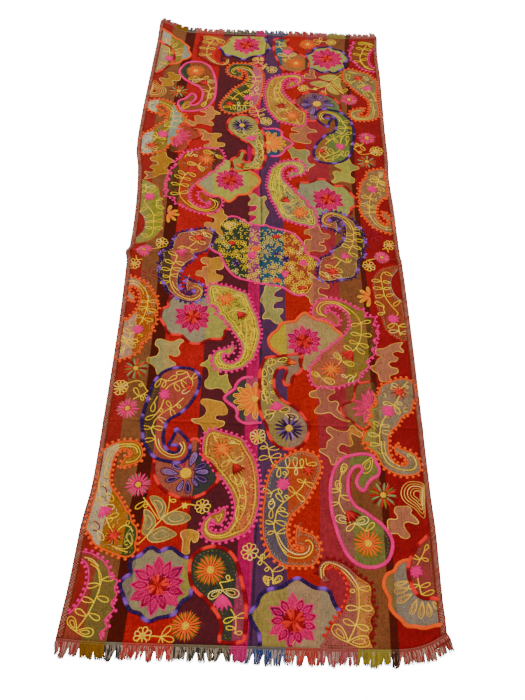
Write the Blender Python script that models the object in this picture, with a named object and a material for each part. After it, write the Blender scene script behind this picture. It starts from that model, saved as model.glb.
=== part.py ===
# A woven pashmina shawl laid out flat, with turned long edges and a fringe at each end.
# Metres, +X across the width, +Y from the near hem to the far hem, +Z up.
# It stands on z = 0, with the origin under the middle of its outline.

import math
import random

import bmesh
import bpy

MM = 0.001

# Driving sizes
WIDTH = 0.700           # across the loom, over both turned edges
LENGTH = 1.890          # between the two fringe headings
CLOTH_WALL = 1.6 * MM   # wool cloth with its embroidery threads
EDGE_WALL = 2.2 * MM    # the cloth turned over once and whipped down
EDGE_WIDTH = 11.0 * MM
SEAM_GAP = 0.4 * MM     # parts neighbouring pieces
HEADING_WIDTH = 4.0 * MM
HEADING_WALL = 2.0 * MM

# Fringe
LOCKS_PER_END = 88
LOCK_SHARE = 0.52       # of the heading's length that grows locks
LOCK_LENGTH = 25.0 * MM
LOCK_LENGTH_SPREAD = 3.5 * MM
LOCK_TIP_WIDTH = 1.5 * MM
LOCK_TIP_WALL = 0.9 * MM
LOCK_SWAY = 1.2 * MM
LOCK_TIP_LIFT = 0.6 * MM   # the tips end this far above the floor at least
LOCK_STATIONS = (0.5, 1.0)
CORNER_LOCKS = 3           # at the far left corner these are pulled out longer
CORNER_LOCK_GROWTH = 0.5

# Grid of the cloth wall
CELL_ACROSS = 40.0 * MM
CELL_ALONG = 45.0 * MM
CREASE_LINES = (-1.0, -0.5, 0.0, 0.5, 1.0)   # grid lines at each crease, in half widths
CORNER_CELL = 14.0 * MM    # across, beside the long edges where the hems bend most
CORNER_CELLS = 6

# How far each long edge lies from the centre line, in millimetres.
# Columns: distance from the near hem, left edge, right edge.
SIDE_EDGES = (
    (0, 360, 340),
    (45, 357, 342),
    (130, 352, 344),
    (220, 348, 346),
    (300, 339, 345),
    (470, 336, 346),
    (720, 335, 347),
    (905, 339, 346),
    (932, 344, 345),
    (955, 337, 343),
    (1110, 338, 342),
    (1245, 348, 339),
    (1312, 359, 343),
    (1440, 361, 344),
    (1695, 354, 350),
    (1800, 350, 350),
    (1890, 347, 356),
)

# How far each hem lies outside its straight line, in millimetres.
# The cloth follows its hem less and less with the distance from it.
# Columns: distance from the left edge, near hem, far hem.
HEMS = (
    (0, -5, 34),
    (35, -3, 25),
    (58, -2, 11),
    (90, -1, 0),
    (200, 0, -3),
    (340, 1, 0),
    (470, 2, 1),
    (600, 1, -1),
    (640, -3, 1),
    (670, -12, 4),
    (700, -28, 11),
)

HEM_REACH = 0.240       # distance from a hem at which the cloth no longer follows it

# Sharp creases from being stored folded, in millimetres.
# Columns: runs along, its place, half width, height, start and end of its run.
CREASES = (
    ("length", 350, 11, 3.2, -60, 1950),
    ("length", 479, 8, 2.2, -60, 150),
    ("width", 452, 9, 2.4, -60, 760),
    ("width", 932, 9, 3.6, -60, 760),
    ("width", 1405, 9, 2.6, -60, 760),
)
CREASE_FADE = 0.060     # length over which a crease that stops dies away

# Low rounded billows and lifted corners, in millimetres.
# Columns: place across, place along, half size across, half size along, height.
BILLOWS = (
    (62, 560, 46, 230, 5.0),
    (76, 1100, 44, 190, 4.4),
    (30, 932, 52, 40, 4.6),
    (640, 1235, 52, 120, 4.8),
    (655, 250, 46, 170, 3.6),
    (612, 770, 56, 190, 3.2),
    (180, 300, 80, 150, 2.6),
    (520, 600, 90, 170, 2.6),
    (205, 1260, 84, 160, 3.0),
    (478, 1640, 80, 130, 2.8),
    (262, 745, 66, 120, 2.2),
    (430, 1120, 72, 130, 2.4),
    (118, 1760, 70, 80, 2.8),
    (600, 1770, 60, 90, 2.6),
    (0, 1900, 78, 110, 12.0),
    (705, -10, 74, 96, 11.0),
    (0, 0, 60, 80, 3.4),
)

# Linear base colours, and how rough and metallic each finish is
FINISHES = {
    "shawl_panel": ((0.42, 0.035, 0.022), 0.92, 0.0),
    "turned_edge": ((0.30, 0.105, 0.05), 0.90, 0.0),
    "fringe": ((0.46, 0.15, 0.13), 0.95, 0.0),
}


def clear_scene():
    for obj in list(bpy.data.objects):
        bpy.data.objects.remove(obj, do_unlink=True)


def finish_of(name):
    colour, roughness, metallic = FINISHES[name]
    material = bpy.data.materials.new(name)
    material.use_nodes = True
    shader = material.node_tree.nodes["Principled BSDF"]
    shader.inputs["Base Color"].default_value = (*colour, 1.0)
    shader.inputs["Roughness"].default_value = roughness
    shader.inputs["Metallic"].default_value = metallic
    return material


def slope_at(rows, column, index):
    """Slope of the smooth curve through a table's column, at one of its rows."""
    before = rows[max(index - 1, 0)]
    after = rows[min(index + 1, len(rows) - 1)]
    return (after[column] - before[column]) / (after[0] - before[0])


def read_curve(rows, column, place):
    """Reads a smooth curve through one column of a table, with its first column as the place."""
    place = min(max(place, rows[0][0]), rows[-1][0])
    last = len(rows) - 2
    index = min(sum(1 for row in rows[1:] if row[0] < place), last)
    start, end = rows[index], rows[index + 1]
    span = end[0] - start[0]
    t = (place - start[0]) / span
    rise_start = slope_at(rows, column, index) * span
    rise_end = slope_at(rows, column, index + 1) * span
    t2, t3 = t * t, t * t * t
    return (
        (2 * t3 - 3 * t2 + 1) * start[column]
        + (t3 - 2 * t2 + t) * rise_start
        + (3 * t2 - 2 * t3) * end[column]
        + (t3 - t2) * rise_end
    )


def hump(distance):
    """1 at the middle, falling smoothly to 0 at a distance of 1 and beyond."""
    if abs(distance) >= 1.0:
        return 0.0
    return 0.5 * (1.0 + math.cos(math.pi * distance))


def lift(across, along):
    """Height of the cloth's underside over the floor, at a place on the flat cloth."""
    height = 0.0
    for runs, place, half, rise, start, end in CREASES:
        off, on = (across, along) if runs == "length" else (along, across)
        off_line = (off - place * MM) / (half * MM)
        past_end = max(start * MM + CREASE_FADE - on, on - (end * MM - CREASE_FADE), 0.0)
        height = max(height, rise * MM * hump(off_line) * hump(past_end / CREASE_FADE))
    for middle, middle_along, half, half_along, rise in BILLOWS:
        reach = math.hypot(
            (across - middle * MM) / (half * MM),
            (along - middle_along * MM) / (half_along * MM),
        )
        height += rise * MM * hump(reach)
    return height


def stations(start, end, cell, runs):
    """Even grid lines from start to end, with closer ones at each crease that crosses them."""
    count = max(1, round((end - start) / cell))
    lines = [start + (end - start) * i / count for i in range(count + 1)]
    for crease_runs, place, half, *_ in CREASES:
        if crease_runs == runs:
            close = [(place + half * k) * MM for k in CREASE_LINES]
            low, high = close[0] - cell / 3, close[-1] + cell / 3
            inner = [line for line in lines[1:-1] if not low < line < high]
            lines = [lines[0]] + inner + close + [lines[-1]]
    return sorted(lines)


def lines_across():
    """Grid lines of the cloth wall across its width, from one turned edge to the other."""
    start, end = EDGE_WIDTH + SEAM_GAP, WIDTH - EDGE_WIDTH - SEAM_GAP
    corner = CORNER_CELL * CORNER_CELLS
    middle = stations(start + corner, end - corner, CELL_ACROSS, "length")
    left = [start + CORNER_CELL * i for i in range(CORNER_CELLS)]
    right = [end - CORNER_CELL * i for i in reversed(range(CORNER_CELLS))]
    return left + middle + right


def hem_corners():
    """Corners of both hems, which run straight from one grid line to the next."""
    places = [0.0, EDGE_WIDTH] + lines_across() + [WIDTH - EDGE_WIDTH, WIDTH]
    return [
        (place, read_curve(HEMS, 1, place / MM) * MM, read_curve(HEMS, 2, place / MM) * MM)
        for place in places
    ]


HEM_CORNERS = hem_corners()


def read_hem(column, place):
    """How far a hem lies outside its straight line, at a place across the cloth."""
    last = len(HEM_CORNERS) - 2
    index = min(sum(1 for corner in HEM_CORNERS[1:] if corner[0] < place), last)
    start, end = HEM_CORNERS[index], HEM_CORNERS[index + 1]
    t = (place - start[0]) / (end[0] - start[0])
    return start[column] + (end[column] - start[column]) * t


def plan_place(across, along):
    """Where a place on the flat cloth lies on the floor, before it is centred."""
    left = -read_curve(SIDE_EDGES, 1, along / MM) * MM
    right = read_curve(SIDE_EDGES, 2, along / MM) * MM
    near = hump(along / HEM_REACH) * read_hem(1, across)
    far = hump((LENGTH - along) / HEM_REACH) * read_hem(2, across)
    x = left + (right - left) * across / WIDTH
    y = along - LENGTH / 2 - near + far
    return x, y


def cloth_point(across, along, above):
    """A point this far above the underside of the cloth."""
    x, y = plan_place(across, along)
    return x, y, lift(across, along) + above


def solid_from_rings(name, rings, finish):
    """A closed solid from rings of as many points each, capped at both ends."""
    mesh = bmesh.new()
    made = [[mesh.verts.new(point) for point in ring] for ring in rings]
    count = len(rings[0])
    for ring, following in zip(made, made[1:]):
        for i in range(count):
            j = (i + 1) % count
            mesh.faces.new((ring[i], ring[j], following[j], following[i]))
    mesh.faces.new(list(reversed(made[0])))
    mesh.faces.new(made[-1])
    return finished_object(name, mesh, finish)


def finished_object(name, mesh, finish):
    bmesh.ops.recalc_face_normals(mesh, faces=mesh.faces)
    data = bpy.data.meshes.new(name)
    mesh.to_mesh(data)
    mesh.free()
    data.materials.append(finish)
    obj = bpy.data.objects.new(name, data)
    bpy.context.collection.objects.link(obj)
    data.shade_smooth()
    data.set_sharp_from_angle(angle=math.radians(40))
    return obj


def make_panel(finish):
    """The woven cloth: a ring round its section at each place along, underside first."""
    across_lines = lines_across()
    mesh = bmesh.new()
    rows = []
    for along in stations(0.0, LENGTH, CELL_ALONG, "width"):
        under = [mesh.verts.new(cloth_point(a, along, 0.0)) for a in across_lines]
        over = [mesh.verts.new(cloth_point(a, along, CLOTH_WALL)) for a in across_lines]
        rows.append((under, over))
    last = len(across_lines) - 1
    for (under, over), (next_under, next_over) in zip(rows, rows[1:]):
        for i in range(last):
            mesh.faces.new((under[i], next_under[i], next_under[i + 1], under[i + 1]))
            mesh.faces.new((over[i], over[i + 1], next_over[i + 1], next_over[i]))
        for i in (0, last):
            mesh.faces.new((under[i], over[i], next_over[i], next_under[i]))
    for under, over in (rows[0], rows[-1]):
        for i in range(last):
            mesh.faces.new((under[i], under[i + 1], over[i + 1], over[i]))
    return finished_object("shawl_panel", mesh, finish)


def make_turned_edge(name, at_left, finish):
    """The long edge turned over into a narrow band, with a rounded fold outside."""
    fold = 0.9 * MM
    section = (
        (fold, 0.0),
        (EDGE_WIDTH, 0.0),
        (EDGE_WIDTH, EDGE_WALL),
        (fold, EDGE_WALL),
        (0.0, EDGE_WALL / 2),
    )
    rings = []
    for along in stations(0.0, LENGTH, CELL_ALONG, "width"):
        ring = []
        for inward, above in section:
            across = inward if at_left else WIDTH - inward
            ring.append(cloth_point(across, along, above))
        rings.append(ring)
    return solid_from_rings(name, rings, finish)


def hem_direction(across, outward):
    """Unit vector on the floor that points straight out of a hem."""
    step = 4 * MM
    along = 0.0 if outward < 0 else LENGTH
    x0, y0 = plan_place(max(across - step, 0.0), along)
    x1, y1 = plan_place(min(across + step, WIDTH), along)
    length = math.hypot(x1 - x0, y1 - y0)
    return (outward * -(y1 - y0) / length, outward * (x1 - x0) / length)


def heading_ring(across, outward):
    """Section of a fringe heading: inner under, outer under, outer over, inner over."""
    hem = 0.0 if outward < 0 else LENGTH
    out_x, out_y = hem_direction(across, outward)
    x, y = plan_place(across, hem)
    z = lift(across, hem)
    inner = SEAM_GAP
    outer = inner + HEADING_WIDTH
    return [
        (x + out_x * inner, y + out_y * inner, z),
        (x + out_x * outer, y + out_y * outer, z),
        (x + out_x * outer, y + out_y * outer, z + HEADING_WALL),
        (x + out_x * inner, y + out_y * inner, z + HEADING_WALL),
    ]


def lock_rings(root, direction, length, sway, tip_lift):
    """The rings of one lock beyond its root: left under, right under, right over, left over."""
    out_x, out_y = direction
    side_x, side_y = root[1][0] - root[0][0], root[1][1] - root[0][1]
    width = math.hypot(side_x, side_y)
    side_x, side_y = side_x / width, side_y / width
    middle_x = (root[0][0] + root[1][0]) / 2
    middle_y = (root[0][1] + root[1][1]) / 2
    under = (root[0][2] + root[1][2]) / 2
    rings = []
    for share in LOCK_STATIONS:
        half = (width + (LOCK_TIP_WIDTH - width) * share) / 2
        wall = HEADING_WALL + (LOCK_TIP_WALL - HEADING_WALL) * share
        x = middle_x + out_x * length * share + side_x * sway * share * share
        y = middle_y + out_y * length * share + side_y * sway * share * share
        low = under + (tip_lift - under) * share * share + LOCK_TIP_LIFT * share * (1 - share)
        rings.append([
            (x - side_x * half, y - side_y * half, low),
            (x + side_x * half, y + side_y * half, low),
            (x + side_x * half, y + side_y * half, low + wall),
            (x - side_x * half, y - side_y * half, low + wall),
        ])
    return rings


def grow_lock(mesh, root, direction, length, sway, tip_lift):
    """Grows a four sided lock out of four vertices of the heading's outer face."""
    previous = root
    points = [tuple(vert.co) for vert in root]
    for ring in lock_rings(points, direction, length, sway, tip_lift):
        made = [mesh.verts.new(point) for point in ring]
        for i in range(4):
            j = (i + 1) % 4
            mesh.faces.new((previous[i], previous[j], made[j], made[i]))
        previous = made
    mesh.faces.new(previous)


def heading_places():
    """Places of a heading's sections, each with the number of the lock that starts there."""
    pitch = WIDTH / LOCKS_PER_END
    places = []
    for i in range(LOCKS_PER_END):
        middle = (i + 0.5) * pitch
        places.append((middle - pitch * LOCK_SHARE / 2, i))
        places.append((middle + pitch * LOCK_SHARE / 2, None))
    for corner, *_ in HEM_CORNERS:
        from_middle = abs(corner % pitch - pitch / 2)
        if from_middle > pitch * (LOCK_SHARE / 2 + 0.05):
            places.append((corner, None))
    return sorted(places, key=lambda place: place[0])


def make_fringe(name, outward, seed, finish):
    """A narrow heading along one hem, with locks of warp yarn growing out of it."""
    chance = random.Random(seed)
    mesh = bmesh.new()
    places = heading_places()
    rings = [[mesh.verts.new(p) for p in heading_ring(across, outward)] for across, _ in places]
    for index, (ring, following) in enumerate(zip(rings, rings[1:])):
        for i in (0, 2, 3):
            j = (i + 1) % 4
            mesh.faces.new((ring[i], ring[j], following[j], following[i]))
        across, lock = places[index]
        if lock is None:
            mesh.faces.new((ring[1], ring[2], following[2], following[1]))
            continue
        length = LOCK_LENGTH + chance.uniform(-1, 1) * LOCK_LENGTH_SPREAD
        if outward > 0 and lock < CORNER_LOCKS:
            length *= 1.0 + CORNER_LOCK_GROWTH
        grow_lock(
            mesh,
            (ring[1], following[1], following[2], ring[2]),
            hem_direction((across + places[index + 1][0]) / 2, outward),
            length,
            chance.uniform(-1, 1) * LOCK_SWAY,
            LOCK_TIP_LIFT + chance.uniform(0.0, 1.6) * MM,
        )
    mesh.faces.new(rings[0])
    mesh.faces.new(rings[-1])
    return finished_object(name, mesh, finish)


def centre_outline(pieces):
    """Moves every piece alike, so that the origin is under the middle of the outline."""
    points = [vert.co for piece in pieces for vert in piece.data.vertices]
    shift_x = -(min(p.x for p in points) + max(p.x for p in points)) / 2
    shift_y = -(min(p.y for p in points) + max(p.y for p in points)) / 2
    for piece in pieces:
        for vert in piece.data.vertices:
            vert.co.x += shift_x
            vert.co.y += shift_y


def main():
    clear_scene()
    cloth = finish_of("shawl_panel")
    edge = finish_of("turned_edge")
    yarn = finish_of("fringe")
    pieces = [
        make_panel(cloth),
        make_turned_edge("turned_edge_left", True, edge),
        make_turned_edge("turned_edge_right", False, edge),
        make_fringe("fringe_near", -1, 11, yarn),
        make_fringe("fringe_far", 1, 23, yarn),
    ]
    centre_outline(pieces)


main()
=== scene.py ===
import math
import random

import bmesh
import bpy
import numpy as np
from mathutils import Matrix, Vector
from mathutils.geometry import delaunay_2d_cdt


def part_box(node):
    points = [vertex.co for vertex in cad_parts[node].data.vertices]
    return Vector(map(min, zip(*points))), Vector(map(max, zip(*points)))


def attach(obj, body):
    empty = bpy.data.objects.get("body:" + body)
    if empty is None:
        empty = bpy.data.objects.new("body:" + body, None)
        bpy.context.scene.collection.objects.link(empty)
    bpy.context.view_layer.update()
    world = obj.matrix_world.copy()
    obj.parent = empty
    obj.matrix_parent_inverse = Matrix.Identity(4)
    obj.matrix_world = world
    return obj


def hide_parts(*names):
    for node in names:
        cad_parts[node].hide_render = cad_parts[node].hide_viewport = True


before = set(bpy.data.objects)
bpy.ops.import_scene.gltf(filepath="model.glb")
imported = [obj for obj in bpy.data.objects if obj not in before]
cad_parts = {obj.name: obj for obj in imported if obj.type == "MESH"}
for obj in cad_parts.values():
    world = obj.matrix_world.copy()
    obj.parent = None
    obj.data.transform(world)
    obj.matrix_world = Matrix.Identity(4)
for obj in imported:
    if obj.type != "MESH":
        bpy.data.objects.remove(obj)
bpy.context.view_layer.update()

# Places on the cloth are in millimetres: across from the left edge, along from the near hem.
clothPlan = {
    "width": 700.0,
    "length": 1890.0,
    "edgeBand": 11.0,       # turned and whipped strip on each long edge
    "seam": 0.4,
    "wall": 1.6,
    "hemReach": 240.0,
    "creaseFade": 60.0,
    # along, left edge from the centre line, right edge from it
    "sideEdges": [
        (0, 360, 340), (45, 357, 342), (130, 352, 344), (220, 348, 346), (300, 339, 345),
        (470, 336, 346), (720, 335, 347), (905, 339, 346), (932, 344, 345), (955, 337, 343),
        (1110, 338, 342), (1245, 348, 339), (1312, 359, 343), (1440, 361, 344),
        (1695, 354, 350), (1800, 350, 350), (1890, 347, 356),
    ],
    # across, how far the near hem bows out, how far the far hem does
    "hems": [
        (0, -5, 34), (35, -3, 25), (58, -2, 11), (90, -1, 0), (200, 0, -3), (340, 1, 0),
        (470, 2, 1), (600, 1, -1), (640, -3, 1), (670, -12, 4), (700, -28, 11),
    ],
    # runs, place, half width, height, start, end
    "creases": [
        ("length", 350, 11, 3.2, -60, 1950), ("length", 479, 8, 2.2, -60, 150),
        ("width", 452, 9, 2.4, -60, 760), ("width", 932, 9, 3.6, -60, 760),
        ("width", 1405, 9, 2.6, -60, 760),
    ],
    # across, along, half size across, half size along, height
    "billows": [
        (62, 560, 46, 230, 5.0), (76, 1100, 44, 190, 4.4), (30, 932, 52, 40, 4.6),
        (640, 1235, 52, 120, 4.8), (655, 250, 46, 170, 3.6), (612, 770, 56, 190, 3.2),
        (180, 300, 80, 150, 2.6), (520, 600, 90, 170, 2.6), (205, 1260, 84, 160, 3.0),
        (478, 1640, 80, 130, 2.8), (262, 745, 66, 120, 2.2), (430, 1120, 72, 130, 2.4),
        (118, 1760, 70, 80, 2.8), (600, 1770, 60, 90, 2.6), (0, 1900, 78, 110, 12.0),
        (705, -10, 74, 96, 11.0), (0, 0, 60, 80, 3.4),
    ],
    # how many soft waves cross the cloth, how long they are and how high
    "ripples": {"count": 9, "shortest": 34, "longest": 120, "height": 1.3},
}

millimetres = 1000.0        # in a metre
anyTurn = 6.3               # upper end of a random direction, in radians
# Colours are named as they look under the lamps below.
colourDepth = {"gain": 0.76, "thread": 0.96, "haze": 0.004}


def linearColour(text, gain=None):
    # turns a named look into the linear colour of the wool itself
    parts = [int(text[i:i + 2], 16) / 255 for i in (1, 3, 5)]
    parts = [c / 12.92 if c <= 0.04045 else ((c + 0.055) / 1.055) ** 2.4 for c in parts]
    return [max(c * (gain or colourDepth["gain"]) - colourDepth["haze"], 0.0) for c in parts]


def hump(distance):
    distance = np.abs(distance)
    return np.where(distance < 1, 0.5 * (1 + np.cos(np.pi * np.minimum(distance, 1))), 0.0)


def smoothCurve(table, column, places):
    # smooth curve through one column of a table, read at many places
    rows = np.array(table, float)
    stops, values = rows[:, 0], rows[:, column]
    slopes = np.empty(len(stops))
    slopes[1:-1] = (values[2:] - values[:-2]) / (stops[2:] - stops[:-2])
    slopes[0] = (values[1] - values[0]) / (stops[1] - stops[0])
    slopes[-1] = (values[-1] - values[-2]) / (stops[-1] - stops[-2])
    places = np.clip(places, stops[0], stops[-1])
    index = np.clip(np.searchsorted(stops, places, "left") - 1, 0, len(stops) - 2)
    span = stops[index + 1] - stops[index]
    t = (places - stops[index]) / span
    return ((2 * t**3 - 3 * t**2 + 1) * values[index] + (t**3 - 2 * t**2 + t) * slopes[index] * span
            + (3 * t**2 - 2 * t**3) * values[index + 1] + (t**3 - t**2) * slopes[index + 1] * span)


def planPlace(across, along):
    left = -smoothCurve(clothPlan["sideEdges"], 1, along)
    right = smoothCurve(clothPlan["sideEdges"], 2, along)
    reach, toFar = clothPlan["hemReach"], clothPlan["length"] - along
    near = hump(along / reach) * smoothCurve(clothPlan["hems"], 1, across)
    far = hump(toFar / reach) * smoothCurve(clothPlan["hems"], 2, across)
    x = left + (right - left) * across / clothPlan["width"]
    return x, along - clothPlan["length"] / 2 - near + far


def liftAt(across, along):
    across, along = np.asarray(across, float), np.asarray(along, float)
    height = np.zeros(np.broadcast(across, along).shape)
    for runs, place, half, rise, start, end in clothPlan["creases"]:
        off, on = (across, along) if runs == "length" else (along, across)
        fade = clothPlan["creaseFade"]
        pastEnd = np.maximum(np.maximum(start + fade - on, on - (end - fade)), 0)
        height = np.maximum(height, rise * hump((off - place) / half) * hump(pastEnd / fade))
    for middle, middleAlong, half, halfAlong, rise in clothPlan["billows"]:
        height = height + rise * hump(np.hypot((across - middle) / half, (along - middleAlong) / halfAlong))
    return height


rippleChance = random.Random(5)
ripples = clothPlan["ripples"]
rippleWaves = [
    (rippleChance.uniform(0, math.pi), rippleChance.uniform(ripples["shortest"], ripples["longest"]),
     rippleChance.uniform(0, anyTurn)) for _ in range(ripples["count"])
]


def rippleAt(across, along):
    # soft unevenness of cloth that was pulled by its embroidery
    total = 0.0
    for turn, length, phase in rippleWaves:
        ahead = across * math.cos(turn) + along * math.sin(turn)
        total = total + np.sin(ahead * 2 * math.pi / length + phase)
    share = 0.5 + 0.5 * np.clip(total / (0.55 * len(rippleWaves)), -1, 1)
    return ripples["height"] * share


# the CAD solids are centred under their outline, so the same shift is read back from them
sideSteps = np.linspace(0, clothPlan["length"], 900)
hemSteps = np.linspace(clothPlan["edgeBand"] + clothPlan["seam"],
                       clothPlan["width"] - clothPlan["edgeBand"] - clothPlan["seam"], 300)
panelLow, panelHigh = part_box("shawl_panel")
leftX = planPlace(np.full_like(sideSteps, hemSteps[0]), sideSteps)[0].min()
rightX = planPlace(np.full_like(sideSteps, hemSteps[-1]), sideSteps)[0].max()
nearY = planPlace(hemSteps, np.zeros_like(hemSteps))[1].min()
farY = planPlace(hemSteps, np.full_like(hemSteps, clothPlan["length"]))[1].max()
shiftX = (panelLow[0] + panelHigh[0]) / 2 - (leftX + rightX) / 2 / millimetres
shiftY = (panelLow[1] + panelHigh[1]) / 2 - (nearY + farY) / 2 / millimetres
print("frame read, shift", round(shiftX, 5), round(shiftY, 5))


def clothPoints(across, along, above):
    # points this far above the woven face, in metres
    x, y = planPlace(across, along)
    z = liftAt(across, along) + rippleAt(across, along) + clothPlan["wall"] + above
    return np.stack([x / millimetres + shiftX, y / millimetres + shiftY, z / millimetres], -1)


def readPath(text):
    return np.array([[float(n) for n in pair.split(",")] for pair in text.split()])


def smoothPath(points, closed=False, step=2.0):
    # a rounded curve through given points, with even steps
    points = np.asarray(points, float)
    count = len(points)
    if count == 2 and not closed:
        curve = points
    else:
        curve = []
        for i in range(count if closed else count - 1):
            if closed:
                a, b, c, d = (points[(i + k) % count] for k in (-1, 0, 1, 2))
            else:
                a, b, c, d = (points[min(max(i + k, 0), count - 1)] for k in (-1, 0, 1, 2))
            t = np.linspace(0, 1, 13)[:-1, None]
            curve.append(0.5 * (2 * b + (c - a) * t + (2 * a - 5 * b + 4 * c - d) * t**2
                                + (3 * b - a - 3 * c + d) * t**3))
        curve.append(points[:1] if closed else points[-1:])
        curve = np.concatenate(curve)
    runs = np.concatenate([[0], np.cumsum(np.hypot(*np.diff(curve, axis=0).T))])
    steps = max(2, int(round(runs[-1] / step)) + 1)
    marks = np.linspace(0, runs[-1], steps)
    return np.stack([np.interp(marks, runs, curve[:, 0]), np.interp(marks, runs, curve[:, 1])], -1)


def insideShape(points, shape):
    # which points lie inside a closed shape
    points = np.atleast_2d(points)
    inside = np.zeros(len(points), bool)
    ends = np.roll(shape, -1, axis=0)
    for (x1, y1), (x2, y2) in zip(shape, ends):
        if y1 == y2:
            continue
        crosses = (y1 > points[:, 1]) != (y2 > points[:, 1])
        inside ^= crosses & (points[:, 0] < (x2 - x1) * (points[:, 1] - y1) / (y2 - y1) + x1)
    return inside


# Warp stripes: name, where each ends across at the near hem, the middle and the far hem, wool colour
stripes = [
    ("selvedge", 16, 13, 15, "#8c3420"),
    ("leftRed", 46, 40, 43, "#9b2320"),
    ("ochre", 90, 82, 87, "#864f2c"),
    ("umber", 119, 113, 117, "#52180f"),
    ("scarlet", 208, 207, 206, "#b71d1b"),
    ("wine", 311, 306, 309, "#5a2026"),
    ("magenta", 341, 333, 344, "#b80c50"),
    ("purple", 408, 397, 399, "#583052"),
    ("scarletRight", 470, 468, 470, "#b42016"),
    ("crimson", 537, 532, 535, "#a22b33"),
    ("brown", 597, 590, 595, "#864c2a"),
    ("umberRight", 612, 603, 608, "#581a12"),
    ("rightRed", 700, 700, 700, "#97181c"),
]


stripeMarks = (0, 850, clothPlan["length"])    # the near hem, the middle and the far hem


def stripeEnds(along):
    # where every stripe ends across, at places along the cloth
    return np.stack([np.interp(along, stripeMarks, row[1:4]) for row in stripes], -1)


wool = {
    # the darkest and the lightest look of each thread
    "yellow": ("#eeaa00", "#ffdc00"), "paleYellow": ("#eab438", "#ffe478"), "gold": ("#cc8800", "#f4be00"),
    "orange": ("#e04a00", "#fb5a00"), "flame": ("#d85a00", "#f48400"), "tanEdge": ("#c07a26", "#fcc84c"),
    "pink": ("#d40064", "#fc007a"), "softPink": ("#b8004a", "#f83068"), "rose": ("#8d0035", "#ca0053"),
    "red": ("#7c0016", "#f02820"), "darkRed": ("#610010", "#8d1218"), "umber": ("#2c1408", "#4c2c10"),
    "violet": ("#260040", "#8a4cba"), "navy": ("#22002e", "#3c164e"), "lavender": ("#53395d", "#a673b1"),
    "sage": ("#515434", "#969755"), "moss": ("#524b1a", "#947c20"), "stone": ("#685e48", "#a49a78"),
    "cream": ("#a06a48", "#ecc890"), "whip": ("#9c5842", "#d8a68c"),
}
woolShades = {
    name: [np.array(linearColour(look, colourDepth["thread"])) for look in pair] for name, pair in wool.items()
}
sewing = {"bands": [], "lines": [], "petals": [], "knots": []}    # every planned stitch, by its form
rowLength = 11                # values of one stitch before the mark that says whether it is repeated
copying = {"turn": True}      # whether the stitches planned now are repeated in the far half
chance = random.Random(71)
stitchLook = {
    "sunk": -0.3,             # how far a stitch starts below the face of the cloth
    "link": 4.6,              # length of a chain stitch along its line
    "overlap": 1.22,          # how far each runs into the next
    "bandPitch": 2.6, "bandOverlap": 1.55, "bandSunk": -0.4, "dyePeriod": 54.0,
    # threads dyed in two shades, and the point of the wave past which they are light
    "lightFrom": {"violet": 0.74, "red": 0.1}, "picotLightFrom": 0.62, "dyeEdge": 7,
    "knotOff": 4.6, "knotLong": 7.4, "knotWide": 6.4, "dashOff": 4.0,
}


def shadeOf(thread, tone):
    low, high = woolShades[thread]
    return low + (high - low) * min(max(tone, 0.0), 1.0)


def sew(kind, across, along, turn, length, width, height, colour, base=stitchLook["sunk"], run=0.0):
    # plans one stitch: its middle, direction and size, its start above the cloth, its place along its thread
    sewing[kind].append((across, along, turn, length, width, height, base, run, *colour, copying["turn"]))


def marksAlong(path, spacing):
    # even marks along a curve: place, direction, run
    steps = np.hypot(*np.diff(path, axis=0).T)
    runs = np.concatenate([[0], np.cumsum(steps)])
    count = max(1, int(round(runs[-1] / spacing)))
    marks = (np.arange(count) + 0.5) * runs[-1] / count
    ahead, behind = np.minimum(marks + 1.2, runs[-1]), np.maximum(marks - 1.2, 0)
    u, v = (np.interp(marks, runs, path[:, column]) for column in (0, 1))
    du, dv = (np.interp(ahead, runs, path[:, column]) - np.interp(behind, runs, path[:, column])
              for column in (0, 1))
    return list(zip(u, v, np.arctan2(dv, du), marks)), runs[-1] / count


def sewLine(path, thread, width=2.7, link=stitchLook["link"], height=1.0):
    # a row of chain stitches
    marks, spacing = marksAlong(path, link)
    drift = chance.uniform(0, 6)
    for u, v, turn, run in marks:
        tone = 0.55 + 0.35 * math.sin(run / 17 + drift) + chance.uniform(-0.18, 0.18)
        sew("lines", u, v, turn + chance.uniform(-0.06, 0.06), spacing * stitchLook["overlap"], width, height,
            shadeOf(thread, tone), run=run)


def dyed(wave, lightFrom):
    # the tone of a thread dyed in two shades with a short change between them
    return 1 / (1 + math.exp(-stitchLook["dyeEdge"] * (wave - lightFrom)))


def sewBand(path, thread, width=8.2, height=1.9):
    # thick laid wool, space dyed where its thread has two far apart shades
    marks, spacing = marksAlong(path, stitchLook["bandPitch"])
    period = stitchLook["dyePeriod"]
    drift = chance.uniform(0, period)
    lightFrom = stitchLook["lightFrom"].get(thread)
    for u, v, turn, run in marks:
        wave = math.sin((run + drift) * 2 * math.pi / period)
        tone = 0.55 + 0.2 * wave if lightFrom is None else dyed(wave, lightFrom)
        tone += chance.uniform(-0.1, 0.1)
        sew("bands", u, v, turn, spacing * stitchLook["bandOverlap"], width * chance.uniform(0.94, 1.05),
            height, shadeOf(thread, tone), stitchLook["bandSunk"], run)


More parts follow.
